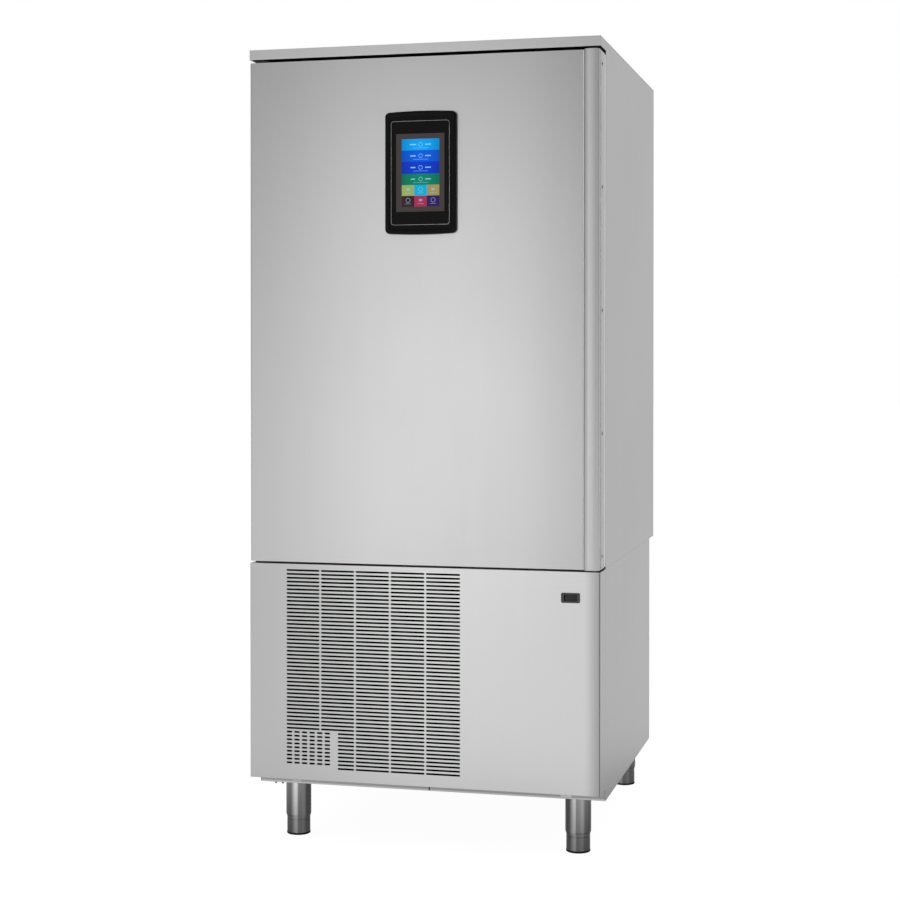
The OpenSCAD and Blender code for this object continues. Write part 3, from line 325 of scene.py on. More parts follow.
def mouldedFinish(name, tone, roughness, pebble=900.0, depth=0.12, shine=0.2):
    made = Finish(name, {"Roughness": roughness, "Specular IOR Level": shine})
    grain = made.noise((pebble,) * 3, 3.0)
    wear = made.noise(moulded["wear"], 4.0)
    made.feed(colour=made.shade(tone, moulded["least"] + wear * moulded["mottle"]),
              roughness=roughness - moulded["polish"] + (wear + grain) * moulded["polish"])
    made.bump(grain, depth, fineDistance)
    return made


painted = {"coat": 0.35, "coatRoughness": 0.2, "peel": (340, 340, 340), "dust": (14, 14, 14), "least": 0.85,
           "mottle": 0.3, "dustRough": 0.2, "depth": 0.10}


def paintFinish(name, tone, roughness):
    look = painted
    made = Finish(name, {"Roughness": roughness, "Coat Weight": look["coat"],
                         "Coat Roughness": look["coatRoughness"]})
    peel = made.noise(look["peel"], 2.0)
    dust = made.noise(look["dust"], 5.0)
    made.feed(colour=made.shade(tone, look["least"] + dust * look["mottle"]),
              roughness=roughness + (dust - 0.5) * look["dustRough"])
    made.bump(peel, look["depth"], fineDistance)
    return made


foamed = {"roughness": 0.9, "cells": (420, 420, 420), "stain": (12, 12, 12), "least": 0.8, "mottle": 0.3,
          "cellTone": 0.12, "depth": 0.4, "distance": 0.0006}


def foamFinish(name, tone):
    look = foamed
    made = Finish(name, {"Roughness": look["roughness"]})
    cells = made.add("ShaderNodeTexVoronoi", None, {"Vector": made.point(look["cells"]), "Scale": 1.0})
    stain = made.noise(look["stain"], 4.0)
    made.feed(colour=made.shade(tone, look["least"] + stain * look["mottle"] + cells * look["cellTone"]))
    made.bump(cells, look["depth"], look["distance"])
    return made


bare = {"mist": (26, 26, 26), "fine": (500, 500, 500), "middle": 0.4, "mistRough": 0.3, "depth": 0.08}


def metalFinish(name, tone, roughness, tarnish, tarnished):
    made = Finish(name, {"Metallic": 1.0, "Roughness": roughness})
    mist = made.noise(bare["mist"], 5.0)
    fine = made.noise(bare["fine"], 2.0)
    made.feed(colour=made.blend(mist * tarnished, tone, tarnish),
              roughness=roughness + (mist - bare["middle"]) * bare["mistRough"])
    made.bump(fine, bare["depth"], fineDistance)
    return made


legGlints = [  # painted reflection streaks: degrees where each starts, is full, starts to fall and is gone, and its weight
    (-30, -2, 2, 10, 0.98),
    (1, 10, 37, 53, 0.22),
    (21, 33, 39, 51, 0.14),
    (-75, -62, -55, -40, 0.07),
    (140, 158, 164, 178, 0.5),
    (-134, -121, -119, -106, 0.2),
]
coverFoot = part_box("front_cover")[0].z
# Painted light and shade: a sweep's steps, a rise and the lip's shadow, each from and to in metres, and the
# change as a share of the tone.
looks = {
    "face": (0.520, 0.520, 0.520), "cover": (0.520, 0.520, 0.520), "faceRoughness": 0.35,
    # the side tone: a darker copy of the face's steel, painted shade, for faces that turn sideways and for the
    # side panels
    "side": (0.47, 0.47, 0.47), "sideRoughness": 0.42,
    "liner": (0.62, 0.63, 0.64), "linerRoughness": 0.30,
    "grip": (0.60, 0.60, 0.60), "gripRoughness": 0.44,
    # painted shade: the front frame is near black below and above these heights, in the gaps under and over
    # the door
    "breaker": (0.660, 1.742),
    # painted shade: the door darker towards its left and right edges
    "doorSweep": [(-0.42, -0.08, 0.105), (0.20, 0.37, -0.10)],
    # painted shade: the cover darker towards its left, darker towards its right edge, and darkest from the
    # bend on
    "coverSweep": [(-0.40, 0.08, 0.32), (0.357, 0.397, -0.42), (0.3915, 0.3935, -0.65)],
    # painted shade: the cover darker towards the top
    "coverRise": (0.15, 0.62, -0.055),
    "seam": (coverFoot - 0.0016, coverFoot + 0.0004, -0.40),  # a painted shadow on the tray's lip under the cover
}
steel = {
    "door": steelFinish("doorSteel", looks["face"], looks["faceRoughness"], "z", sweep=looks["doorSweep"]),
    "cover": steelFinish("coverSteel", looks["cover"], looks["faceRoughness"], "z", sweep=looks["coverSweep"],
                         rise=looks["coverRise"]),
    "side": steelFinish("sideSteel", looks["side"], looks["sideRoughness"], "z", 0.05, 0.02),
    "cap": steelFinish("capSteel", (0.66, 0.66, 0.66), 0.36, "x"),
    # near black: painted shade on the cap's underside and its lip's back; the cover's screws take it too
    "under": steelFinish("capInside", (0.03, 0.03, 0.03), 0.6, "x"),
    "tray": steelFinish("traySteel", (0.66, 0.66, 0.66), 0.36, "x", rise=looks["seam"]),
    "grip": steelFinish("gripSteel", looks["grip"], looks["gripRoughness"], "z", 0.04, 0.02),
    # painted light and shade on the grip: its turning end darker, the pocket and the bead near white
    "gripEnd": steelFinish("gripEndSteel", (0.53, 0.53, 0.53), looks["sideRoughness"], "z", 0.04, 0.02),
    "pocket": steelFinish("pocketSteel", (0.97, 0.97, 0.97), 0.75, "z", 0.04, 0.02),
    "liner": steelFinish("linerSteel", looks["liner"], looks["linerRoughness"], "z", 0.05, 0.05),
    "frame": steelFinish("frameSteel", looks["liner"], looks["linerRoughness"], "z", 0.05, 0.05,
                         breaker=looks["breaker"]),
    "floor": steelFinish("linerFloorSteel", looks["liner"], looks["linerRoughness"], "y", 0.05, 0.05),
    "leg": tubeFinish("legTube", (0.19, 0.19, 0.19), (0.86, 0.86, 0.86), 0.24, legGlints),
    "foot": tubeFinish("footTube", (0.20, 0.20, 0.20), (0.60, 0.60, 0.60), 0.32, legGlints),
    "turned": steelFinish("turnedSteel", (0.60, 0.60, 0.60), 0.28, "x", 0.08, 0.04),
    "screw": steelFinish("screwSteel", (0.20, 0.20, 0.20), 0.35, "x", 0.08, 0.04),
    "bracket": steelFinish("bracketSteel", (0.10, 0.10, 0.10), 0.5, "x", 0.08, 0.04),
}
# Moulded parts: name, tone, roughness, the pebble's scale and depth, shine.
blackPlastic = mouldedFinish("blackPlastic", (0.0022, 0.0022, 0.0025), 0.42, 800.0, 0.08, 0.10)
switchPlastic = mouldedFinish("switchPlastic", (0.045, 0.045, 0.046), 0.45, 800.0, 0.08, 0.2)
fanPlastic = mouldedFinish("fanPlastic", (0.03, 0.03, 0.032), 0.45, 500.0, 0.08, 0.35)
rockerPlastic = mouldedFinish("rockerPlastic", (0.026, 0.026, 0.027), 0.45, 700.0, 0.16, 0.2)
rubber = mouldedFinish("blackRubber", (0.008, 0.008, 0.009), 0.78, 1200.0, 0.20, 0.1)
padFoam = mouldedFinish("filterFoam", (0.003, 0.003, 0.003), 0.95, 1500.0, 0.30, 0.0)
gasketRubber = mouldedFinish("greyGasket", (0.60, 0.60, 0.61), 0.6, 900.0, 0.10, 0.3)
blackPaint = paintFinish("blackPaint", (0.015, 0.015, 0.017), 0.38)
motorPaint = paintFinish("motorPaint", (0.06, 0.06, 0.065), 0.45)
yellowFoam = foamFinish("insulation", (0.80, 0.70, 0.42))
finMetal = metalFinish("rolledAluminium", (0.80, 0.81, 0.83), 0.35, (0.5, 0.5, 0.5), 0.5)
coatedFins = paintFinish("coatedFins", (0.02, 0.02, 0.022), 0.5)
copper = metalFinish("drawnCopper", (0.76, 0.42, 0.26), 0.28, (0.30, 0.14, 0.08), 0.8)
silver = metalFinish("silverInlay", (0.55, 0.55, 0.56), 0.30, (0.40, 0.40, 0.41), 0.4)
boardGreen = mouldedFinish("boardLacquer", (0.02, 0.16, 0.07), 0.3, 300.0, 0.05, 0.6)
print("finishes made:", len(bpy.data.materials))


# The screen: a generic touch display, drawn on the glass by its place. Bars and tiles are given by their lower
# edges and marks by places and half sizes, as shares of the screen. A ring's radii are in metres.

screenLook = {
    "width": 0.0844, "height": 0.1468, "side": 0.0008, "rise": -0.0004, "glow": 1.0,
    "bezel": (0.052, 0.044, 0.041),
    "bars": [(0.168, (0.0, 0.27, 0.68)), (0.336, (0.0, 0.082, 0.55)), (0.514, (0.002, 0.030, 0.45)),
             (0.680, (0.0, 0.17, 0.10))],
    "tiles": [(0.839, [(0.30, 0.40, 0.12), (0.0, 0.40, 0.66), (0.34, 0.28, 0.10)]),
              (1.01, [(0.040, 0.014, 0.020), (0.34, 0.030, 0.085), (0.030, 0.010, 0.105)])],
    "mark": (0.28, 0.68, 0.90), "markWeight": 0.75, "least": 0.85, "middle": 0.45,
    "barMarks": {"down": (0.082, 0.250, 0.422, 0.594), "ring": (0.0046, 0.0036), "left": (0.30, 0.085),
                 "shorter": 0.01, "right": (0.70, 0.075), "stroke": 0.009, "rule": (0.20, 0.003),
                 "ruleWeight": 0.7},
    "tileMarks": {"down": (0.745, 0.905), "ring": (0.0052, 0.0041), "plate": (0.042, 0.017),
                  "rule": (0.08, 0.003), "weight": 0.6},
    "ruleDrop": 0.052,  # a mark's thin rule is so far under it
}


def screenFinish():
    low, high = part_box("display_screen")
    centre = (low + high) / 2
    look = screenLook
    made = Finish("litScreen", {"Base Color": (0.004, 0.004, 0.004, 1), "Roughness": 0.3,
                                "Specular IOR Level": 0.04, "Emission Strength": look["glow"]})
    x, _, z = made.axes(made.coordinates())
    across = (x - (centre.x + look["side"])) / look["width"] + 0.5
    down = 0.5 - (z - (centre.z + look["rise"])) / look["height"]

    def within(wire, start, end):
        return (wire > start) * (wire < end)

    def spot(cx, cy, halfWidth, halfHeight):
        return (abs(across - cx) < halfWidth) * (abs(down - cy) < halfHeight)

    def disc(cx, cy, radius):
        dx, dy = (across - cx) * look["width"], (down - cy) * look["height"]
        return (dx * dx + dy * dy) < radius * radius

    def ring(cx, cy, radii):
        return disc(cx, cy, radii[0]) - disc(cx, cy, radii[1])

    colour = made.blend(0.0, look["bezel"], look["bezel"])
    top = 0.0
    centred = 1 - (across - 0.5) * (across - 0.5) * 4
    for edge, tone in look["bars"]:  # each bar is brighter in its middle
        lit = made.shade(tone, look["least"] + centred * look["middle"])
        colour = made.blend(within(down, top, edge), colour, lit)
        top = edge
    for edge, tones in look["tiles"]:
        for column, tone in enumerate(tones):
            mask = within(down, top, edge) * within(across, column / 3, (column + 1) / 3)
            colour = made.blend(mask, colour, tone)
        top = edge
    marks = 0.0
    bar, tile, drop = look["barMarks"], look["tileMarks"], look["ruleDrop"]
    for index, cy in enumerate(bar["down"]):  # a ring between two short strokes, and a thin rule
        (leftX, leftHalf), (rightX, rightHalf) = bar["left"], bar["right"]
        strokes = (spot(leftX, cy, leftHalf - bar["shorter"] * index, bar["stroke"])
                   + spot(rightX, cy, rightHalf, bar["stroke"]))
        rule = spot(0.5, cy + drop, *bar["rule"])
        marks = marks + ring(0.5, cy, bar["ring"]) + strokes + rule * bar["ruleWeight"]
    for row, cy in enumerate(tile["down"]):  # rings and plates by turns, each over a thin rule
        for column in range(3):
            cx = column / 3 + 1 / 6
            shape = ring(cx, cy, tile["ring"]) if (row + column) % 2 else spot(cx, cy, *tile["plate"])
            marks = marks + shape * tile["weight"] + spot(cx, cy + drop, *tile["rule"]) * tile["weight"]
    inside = within(across, 0.0, 1.0) * within(down, 0.0, 1.0)
    colour = made.blend(inside * marks * look["markWeight"], colour, look["mark"])
    made.feed(glow=made.blend(inside, look["bezel"], colour))
    return made


litScreen = screenFinish()
dressing = {
    "door": ["door_skin"],
    "cover": ["front_cover"],
    "side": ["side_panel_left", "side_panel_right", "base_side_left", "base_side_right", "back_panel",
             "base_back_panel", "cabinet_underside", "electrical_box", "fan_shroud", "base_rails"],
    "cap": ["top_cap"],
    "tray": ["base_tray"],
    "grip": ["handle_profile", "handle_end_caps"],
    "bracket": ["upper_hinge_bracket", "lower_hinge_bracket"],
    "liner": ["liner_left", "liner_right", "liner_back", "fan_panel", "rack_posts", "door_inner_panel"],
    "frame": ["front_frame"],
    "floor": ["liner_top", "liner_floor", "pan_slides_left", "pan_slides_right"],
    "leg": ["leg_tubes"],
    "foot": ["foot_front_left", "foot_front_right", "foot_rear_left", "foot_rear_right"],
    "turned": ["chamber_drain", "fan_guards"],
    "screw": ["handle_screws"],
    "under": ["cover_screws"],
}
others = [
    (blackPlastic, ["display_housing", "cable_gland", "hinge_bushes"]),
    (switchPlastic, ["switch_frame"]),
    (rockerPlastic, ["mains_rocker"]),
    (fanPlastic, ["upper_fan_rotor", "lower_fan_rotor", "condenser_fan_rotor"]),
    (rubber, ["compressor_mounts"]),
    (gasketRubber, ["door_gasket"]),
    (blackPaint, ["compressor", "liquid_receiver", "filter_drier"]),
    (motorPaint, ["fan_motors", "condenser_fan_motor"]),
    (yellowFoam, ["insulation_foam", "door_foam"]),
    (finMetal, ["evaporator_coil"]),
    (coatedFins, ["condenser_coil"]),
    (copper, ["refrigerant_lines"]),
    (boardGreen, ["display_board"]),
    (litScreen, ["display_screen"]),
]
dressed = [(steel[key], names) for key, names in dressing.items()] + others
finishOf = {name: finish for finish, names in dressed for name in names}
for name, node in frame["nodes"].items():
    node.data.materials.clear()
    node.data.materials.append(finishOf[name].material)
print("CAD nodes dressed:", len(finishOf))


# Folded sheets: rounded edges, round ends in the slots, and the side panels' darker tone, a painted shade,
# where they face sideways.

softEdges = {  # node: width of its edges' rounding and segments
    "top_cap": (0.0012, 2), "door_skin": (0.0012, 2), "front_cover": (0.0004, 1),
    "side_panel_left": (0.0005, 1), "side_panel_right": (0.0005, 1),
    "base_side_left": (0.0005, 1), "base_side_right": (0.0005, 1),
    "handle_profile": (0.0005, 1), "switch_frame": (0.0007, 2), "mains_rocker": (0.0006, 2),
    "base_tray": (0.0005, 1), "front_frame": (0.0004, 1), "door_inner_panel": (0.0005, 1),
}
sideToned = ("top_cap", "door_skin", "front_cover", "handle_profile", "base_tray")
roundCorners = {"switch_frame": (0.0030, 4)}  # node: radius and segments of its four corners from the front
slotField = {"left": -0.312, "right": 0.092, "low": 0.176, "high": 0.622, "endRadius": 0.0021, "steps": 4}
turns = {"flat": math.radians(0.6), "sharp": math.radians(32)}  # edges are taken out below, rounded above
sideways = 0.8  # the x of a face's normal from which it takes the side panels' darker tone, a painted shade
capInside = {"down": -0.5, "back": 0.5}  # the z and y of a normal past which a face of the cap is painted dark as shade
# The grip: y range of the pocket and greatest normal x; x and y of the bead; normal x of the bowed end.
gripBands = {"pocket": (-0.408, -0.384), "pocketSide": 0.9, "bead": (0.3598, -0.40), "bowed": (0.83, 0.995)}


def inSlots(point):
    return slotField["left"] < point.x < slotField["right"] and slotField["low"] < point.z < slotField["high"]


def slotEnds(sheet):  # fillets in the corners of the punched slots, through the sheet
    radius, steps = slotField["endRadius"], slotField["steps"]
    work = bmesh.new()
    count = 0
    for edge in sheet.edges:
        a, b = (vertex.co for vertex in edge.verts)
        straight = abs(a.x - b.x) <= same and abs(a.z - b.z) <= same
        if not straight or not inSlots(a) or len(edge.link_faces) != 2:
            continue
        outwards = edge.link_faces[0].normal + edge.link_faces[1].normal
        sx, sz = math.copysign(1, outwards.x), math.copysign(1, outwards.z)
        shape = [(a.x, a.z)]
        for step in range(steps + 1):
            turn = math.radians(90 * step / steps)
            shape.append((a.x + sx * radius * (1 - math.sin(turn)),
                          a.z + sz * radius * (1 - math.cos(turn))))
        front, back = min(a.y, b.y), max(a.y, b.y)
        loft(work, [[(x, y, z) for x, z in shape] for y in (front, back)], capped=True)
        count += 1
    bmesh.ops.recalc_face_normals(work, faces=work.faces)
    pieceFrom(work, "slotEndFillets", [finishOf["front_cover"]], "cabinet")
    return count


def bevelEdges(work, edges, width, segments, profile):
    bmesh.ops.bevel(work, geom=edges, offset=width, offset_type="OFFSET", segments=segments, profile=profile,
                    affect="EDGES", clamp_overlap=True)


def cornerEdges(work, node):  # the edges that run from front to back in the corners of the node's box
    low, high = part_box(node)

    def inCorner(point):
        return (min(abs(point.x - low.x), abs(point.x - high.x)) < same
                and min(abs(point.z - low.z), abs(point.z - high.z)) < same)

    return [edge for edge in work.edges if all(inCorner(vertex.co) for vertex in edge.verts)
            and abs(edge.verts[0].co.y - edge.verts[1].co.y) > same]


def sharpEdges(work, node):  # all that turn enough, but for those of the slots
    return [edge for edge in work.edges if len(edge.link_faces) == 2
            and edge.calc_face_angle(0) > turns["sharp"]
            and not (node == "front_cover" and inSlots(edge.verts[0].co))]


def gripFinish(normal, middle):  # index of a face's finish; 2 is the finger pocket's own walls and the bead, near white as painted light in the pocket's shade and a painted highlight on the bead
    (front, back), (beadX, beadY) = gripBands["pocket"], gripBands["bead"]
    inPocket = front < middle.y < back and abs(normal.x) < gripBands["pocketSide"]
    if inPocket or (middle.x < beadX and middle.y < beadY):
        return 2
    if gripBands["bowed"][0] < normal.x < gripBands["bowed"][1]:  # the band's end, as it turns to the side, a little darker as painted shade
        return 3
    return 1 if abs(normal.x) > sideways else 0


def sheetFinish(node, normal, middle):  # for the other sheets; 2 is the cap's underside and its lip's back, painted near black as shade
    facesBack = normal.y > capInside["back"] and middle.y < 0
    if node == "top_cap" and (normal.z < capInside["down"] or facesBack):
        return 2
    return 1 if abs(normal.x) > sideways else 0


def soften(node, width, segments):
    isGrip = node == "handle_profile"
    work = bmesh.new()
    work.from_mesh(frame["nodes"][node].data)
    bmesh.ops.remove_doubles(work, verts=work.verts, dist=merge)
    bmesh.ops.dissolve_limit(work, angle_limit=turns["flat"], verts=work.verts, edges=work.edges)
    if node == "front_cover":
        print("slot corners rounded:", slotEnds(work))
    if node in roundCorners:
        radius, steps = roundCorners[node]
        corners = cornerEdges(work, node)
        bevelEdges(work, corners, radius, steps, profile=0.5)
        print("corners rounded:", node, len(corners))
    bevelEdges(work, sharpEdges(work, node), width, segments, profile=0.6)
    finishes = [finishOf[node]]
    if node in sideToned:
        finishes += [steel[key] for key in (("side", "pocket", "gripEnd") if isGrip else ("side", "under"))]
        for face in work.faces:
            middle = face.calc_center_median()
            face.material_index = (gripFinish(face.normal, middle) if isGrip
                                   else sheetFinish(node, face.normal, middle))
    words = node.split("_")
    name = words[0] + "".join(word.capitalize() for word in words[1:]) + "Soft"
    piece = pieceFrom(work, name, finishes, bodyOf[node], (node,), smooth=35)
    evened = piece.modifiers.new("evened", "WEIGHTED_NORMAL")  # keeps wide faces flat beside rounded edges
    evened.weight, evened.keep_sharp = 100, True
    piece.data = evaluated(piece)
    piece.modifiers.clear()


for node, (width, segments) in softEdges.items():
    soften(node, width, segments)
print("edges softened:", len(softEdges))


# The controller's housing: bowed ends, a rolled rim, a shallow recess and the window for the glass.

controller = {"bow": 0.0026, "corner": 0.009, "cornerLoss": 0.6, "leastCorner": 0.003, "roll": 0.0042,
              "rollSteps": 6, "margin": 0.0112, "recess": 0.0015, "wall": 0.002, "clear": 0.0001,
              "boxMargin": (0.007, 0.010), "windowGap": 0.0002}
# Where the rim turns in to the recess: inwards past the margin, and back from the front.
rimEdge = [(-0.0006, 0.0), (-0.0001, 0.0003), (0.0003, controller["recess"])]


def bowedRing(centre, halfWidth, halfHeight, y, corner, arcSteps=6, bowSteps=10):
    across, up = halfWidth - corner, halfHeight - corner
    flat = []
    for quarter, (sx, sz) in enumerate(((1, 1), (-1, 1), (-1, -1), (1, -1))):
        for step in range(arcSteps + 1):
            turn = math.radians(90 * (quarter + step / arcSteps))
            flat.append((sx * across + corner * math.cos(turn), sz * up + corner * math.sin(turn)))
        if quarter in (0, 2):
            for step in range(1, bowSteps):
                flat.append((sx * across * (1 - 2 * step / bowSteps), sz * halfHeight))
    return [(centre.x + x, y, centre.z + z + math.copysign(controller["bow"] * (1 - (x / halfWidth) ** 2), z))
            for x, z in flat]


def plainRing(centre, halfWidth, halfHeight, y):
    return [(centre.x + x * halfWidth, y, centre.z + z * halfHeight)
            for x, z in ((1, 1), (-1, 1), (-1, -1), (1, -1))]


def fillBetween(work, outer, inner):
    edges = [work.edges.get((ring[i], ring[(i + 1) % len(ring)]))
             for ring in (outer, inner) for i in range(len(ring))]
    bmesh.ops.triangle_fill(work, use_beauty=True, use_dissolve=False, edges=edges)


def controllerHousing():
    look = controller
    low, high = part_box("display_housing")
    glassLow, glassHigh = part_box("display_screen")
    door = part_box("door_skin")[0].y
    centre = (low + high) / 2
    halfWidth = (high.x - low.x) / 2
    halfHeight = (high.z - low.z) / 2 - look["bow"]
    behind, floorY = door - look["clear"], low.y + look["recess"]
    rim = [(0, behind), (0, low.y + look["roll"])]  # its section: in from the outline, and y
    for step in range(1, look["rollSteps"] + 1):
        turn = math.radians(90 / look["rollSteps"] * step)
        rim.append((look["roll"] * (1 - math.cos(turn)), low.y + look["roll"] * (1 - math.sin(turn))))
    rim += [(look["margin"] + past, low.y + back) for past, back in rimEdge]
    work = bmesh.new()
    rings = []
    for inset, y in rim:
        corner = max(look["corner"] - inset * look["cornerLoss"], look["leastCorner"])
        rings.append(bowedRing(centre, halfWidth - inset, halfHeight - inset, y, corner))
    rows = loft(work, rings)
    glass = (glassHigh - glassLow) / 2
    opening = loft(work, [plainRing((glassLow + glassHigh) / 2, glass.x + look["windowGap"],
                                    glass.z + look["windowGap"], y) for y in (floorY, behind)])
    fillBetween(work, rows[-1], opening[0])
    fillBetween(work, rows[0], opening[1])
    boxX, boxZ = glass.x + look["boxMargin"][0], glass.z + look["boxMargin"][1]
    wall = look["wall"]
    well = [(wall, high.y - wall), (wall, door), (0, door), (0, high.y)]  # the box in the door, in like terms
    loft(work, [plainRing(centre, boxX - inset, boxZ - inset, y) for inset, y in well], capped=True)
    pieceFrom(pointOutwards(work), "controllerHousing", [blackPlastic], "door",
              ("display_housing",), smooth=40)
    return centre, floorY


controllerCentre, recessY = controllerHousing()
print("controller housing made")


trim = {"Width": 0.1306, "Height": 0.2250, "Corner": 0.006, "Thickness": 0.00042}
trimDrop = 0.0005  # its middle is so far under the housing's


def trimRecipe():
    made = Recipe("trimLine", {**trim, "Centre": (0.0, 0.0, 0.0)})
    path = made.add("GeometryNodeCurvePrimitiveQuadrilateral", None,
                    {"Width": made.put("Width"), "Height": made.put("Height")})
    path = made.add("GeometryNodeFilletCurve", {"mode": "POLY"},
                    {"Curve": path, "Radius": made.put("Corner"), "Count": 6})
    section = made.add("GeometryNodeCurvePrimitiveCircle", None,
                       {"Resolution": 6, "Radius": made.put("Thickness")})
    line = made.add("GeometryNodeCurveToMesh", None, {"Curve": path, "Profile Curve": section})
    stood = made.add("GeometryNodeTransform", None, {"Geometry": line, "Rotation": (math.pi / 2, 0, 0),
                                                     "Translation": made.put("Centre")})
    return made.close(stood)


cook(trimRecipe(), "controllerTrim", "door", silver,
     {**trim, "Centre": (controllerCentre.x, recessY, controllerCentre.z - trimDrop)}, smooth=60)
print("silver line laid round the screen")


# The door's gasket: a foot, a bellows and a magnet pocket, swept round the inner panel with mitred corners.

gasketSection = [  # millimetres in from the outer edge and back from the panel
    (0, 0), (24, 0), (24, 1.2), (20, 1.6), (17.5, 2.7), (19.8, 4.3), (17, 5.9), (19.2, 7.5), (21, 8.1),
    (21, 9.3), (20.2, 9.7), (3.8, 9.7), (3, 9.3), (3, 8.1), (4.8, 7.5), (7, 5.9), (4.2, 4.3), (6.5, 2.7),
    (4, 1.6), (0, 1.2)]
gasketLip = [  # the flap that closes the gap on the grip's side: millimetres out from that edge, and back
    (0.2, 0.1), (24.6, 0.1), (26.0, 0.9), (26.3, 2.2), (26.3, 8.4), (25.4, 9.6), (21.5, 9.6), (20.5, 8),
    (20, 3.5), (18, 1.3), (0.2, 1.2)]
lipEnds = (-0.0225, -0.001)  # z of its ends, from the gasket's foot and from its top


def gasketRing():
    low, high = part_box("door_gasket")
    centre = (low + high) / 2
    halfWidth, halfHeight = (high.x - low.x) / 2, (high.z - low.z) / 2
    work = bmesh.new()
    rings = []
    for inset, back in gasketSection:
        y = min(low.y + back / 1000, high.y)
        rings.append(plainRing(centre, halfWidth - inset / 1000, halfHeight - inset / 1000, y))
    loft(work, rings, looped=True)
    loft(work, [[(high.x + out / 1000, low.y + back / 1000, z) for out, back in gasketLip]
                for z in (low.z + lipEnds[0], high.z + lipEnds[1])], capped=True)
    pieceFrom(pointOutwards(work), "doorGasketBellows", [gasketRubber], "door",
              ("door_gasket",), smooth=28)


gasketRing()
print("gasket swept")


# Black rubber sole round each foot: a ring of this section, by its radius past the foot's and its height in
# millimetres.

soleSection = [(-2.9, 0.0), (-0.9, 0.0), (-0.1, 0.25), (0.5, 0.9), (0.6, 1.7), (0.6, 3.9), (0.4, 4.5),
               (0.05, 4.7), (0.05, 3.0)]
soleSides = 48


def sole(node):
    low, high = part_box(node)
    centre, radius = (low + high) / 2, (high.x - low.x) / 2
    work = bmesh.new()
    rings = []
    for past, height in soleSection:
        reach, z = radius + past / 1000, low.z + height / 1000
        rings.append([(centre.x + reach * math.cos(math.tau * i / soleSides),
                       centre.y + reach * math.sin(math.tau * i / soleSides), z) for i in range(soleSides)])
    loft(work, rings, looped=True)
    _, end, side = node.split("_")
    pieceFrom(pointOutwards(work), "sole" + end.capitalize() + side.capitalize(), [rubber], bodyOf[node],
              smooth=40)


feet = [node for node in frame["nodes"] if node.startswith("foot_")]
for node in feet:
    sole(node)
print("soles fitted:", len(feet))


# Air filter: a dark pad close behind the slotted cover.

filterPad = {"thickness": 0.008, "margin": 0.006, "gap": 0.0003, "sheet": 0.0012, "edge": 0.0015}


def padBetween(low, high):
    work = bmesh.new()
    bmesh.ops.create_cube(work, size=1.0)
    bmesh.ops.scale(work, vec=high - low, verts=work.verts)
    bmesh.ops.translate(work, vec=(low + high) / 2, verts=work.verts)
    bmesh.ops.bevel(work, geom=list(work.edges), offset=filterPad["edge"], offset_type="OFFSET", segments=2,
                    affect="EDGES")
    return work


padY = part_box("front_cover")[0].y + filterPad["sheet"] + filterPad["gap"]
padMargin = filterPad["margin"]
padLow = Vector((slotField["left"] - padMargin, padY, slotField["low"] - padMargin))
padBack = padY + filterPad["thickness"]
padHigh = Vector((slotField["right"] + padMargin, padBack, slotField["high"] + padMargin))
pieceFrom(padBetween(padLow, padHigh), "airFilter", [padFoam], "cabinet", smooth=35)
print("air filter set behind the cover")


# Fasteners: a head on each of a list of points, turned one way.

washer = {"sides": 20, "taper": 0.96, "height": 0.3}  # its height is a share of the head's


def fastenerRecipe():
    made = Recipe("fastenerHeads", {"Across": 0.008, "Height": 0.003, "Sides": 16, "Crown": 0.7,
                                    "Washer": 0.005, "Turn": (0.0, 0.0, 0.0)})
    radius = made.put("Across") / 2
    head = made.add("GeometryNodeMeshCone", None,
                    {"Vertices": made.put("Sides"), "Radius Top": radius * made.put("Crown"),
                     "Radius Bottom": radius, "Depth": made.put("Height")})
    disc = made.add("GeometryNodeMeshCone", None,
                    {"Vertices": washer["sides"], "Radius Top": made.put("Washer") * washer["taper"],
                     "Radius Bottom": made.put("Washer"), "Depth": made.put("Height") * washer["height"]})
    turned = made.add("FunctionNodeEulerToRotation", None, {0: made.put("Turn")})
    heads = made.add("GeometryNodeInstanceOnPoints", None,
                     {"Points": made.put("Geometry"), "Instance": made.join(head, disc), "Rotation": turned})
    return made.close(heads)


def spread(start, end, count):
    return [start + (end - start) * i / (count - 1) for i in range(count)]


def bothSides(x, y, low, high, inset, count):  # rows of points at x and -x, the inset short of either end
    return [(side * x, y, z) for side in (-1, 1) for z in spread(low.z + inset, high.z - inset, count)]


toBack, toFront, toFloor = (-math.pi / 2, 0.0, 0.0), (math.pi / 2, 0.0, 0.0), (math.pi, 0.0, 0.0)
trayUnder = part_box("base_tray")[0].z
legBolts = {"across": 0.0486, "along": 0.025, "rearAcross": 0.022, "rearBack": -0.042}
trayClips = [(-0.3605, -0.3305), (-0.3445, -0.3305)]  # x and y, under the tray's left front corner
backScrews = {"inset": 0.009, "ends": 0.05, "count": 8, "baseInset": 0.010, "baseEnds": 0.03, "baseCount": 4,
              "topDrop": 0.012, "topAcross": 0.26, "topCount": 3}
fanScrews = {"inset": 0.014, "ends": 0.05, "count": 6, "diagonal": 0.7071, "past": 0.004}


def legBoltPlaces():
    places = []
    for node in feet:
        low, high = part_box(node)
        x, y = (low.x + high.x) / 2, (low.y + high.y) / 2
        if "front" in node:
            places += [(x + sx * legBolts["across"], y + sy * legBolts["along"], trayUnder)
                       for sx in (-1, 1) for sy in (-1, 1)]
        else:
            places += [(x + sx * legBolts["rearAcross"], y + legBolts["rearBack"], trayUnder)
                       for sx in (-1, 1)]
    return places


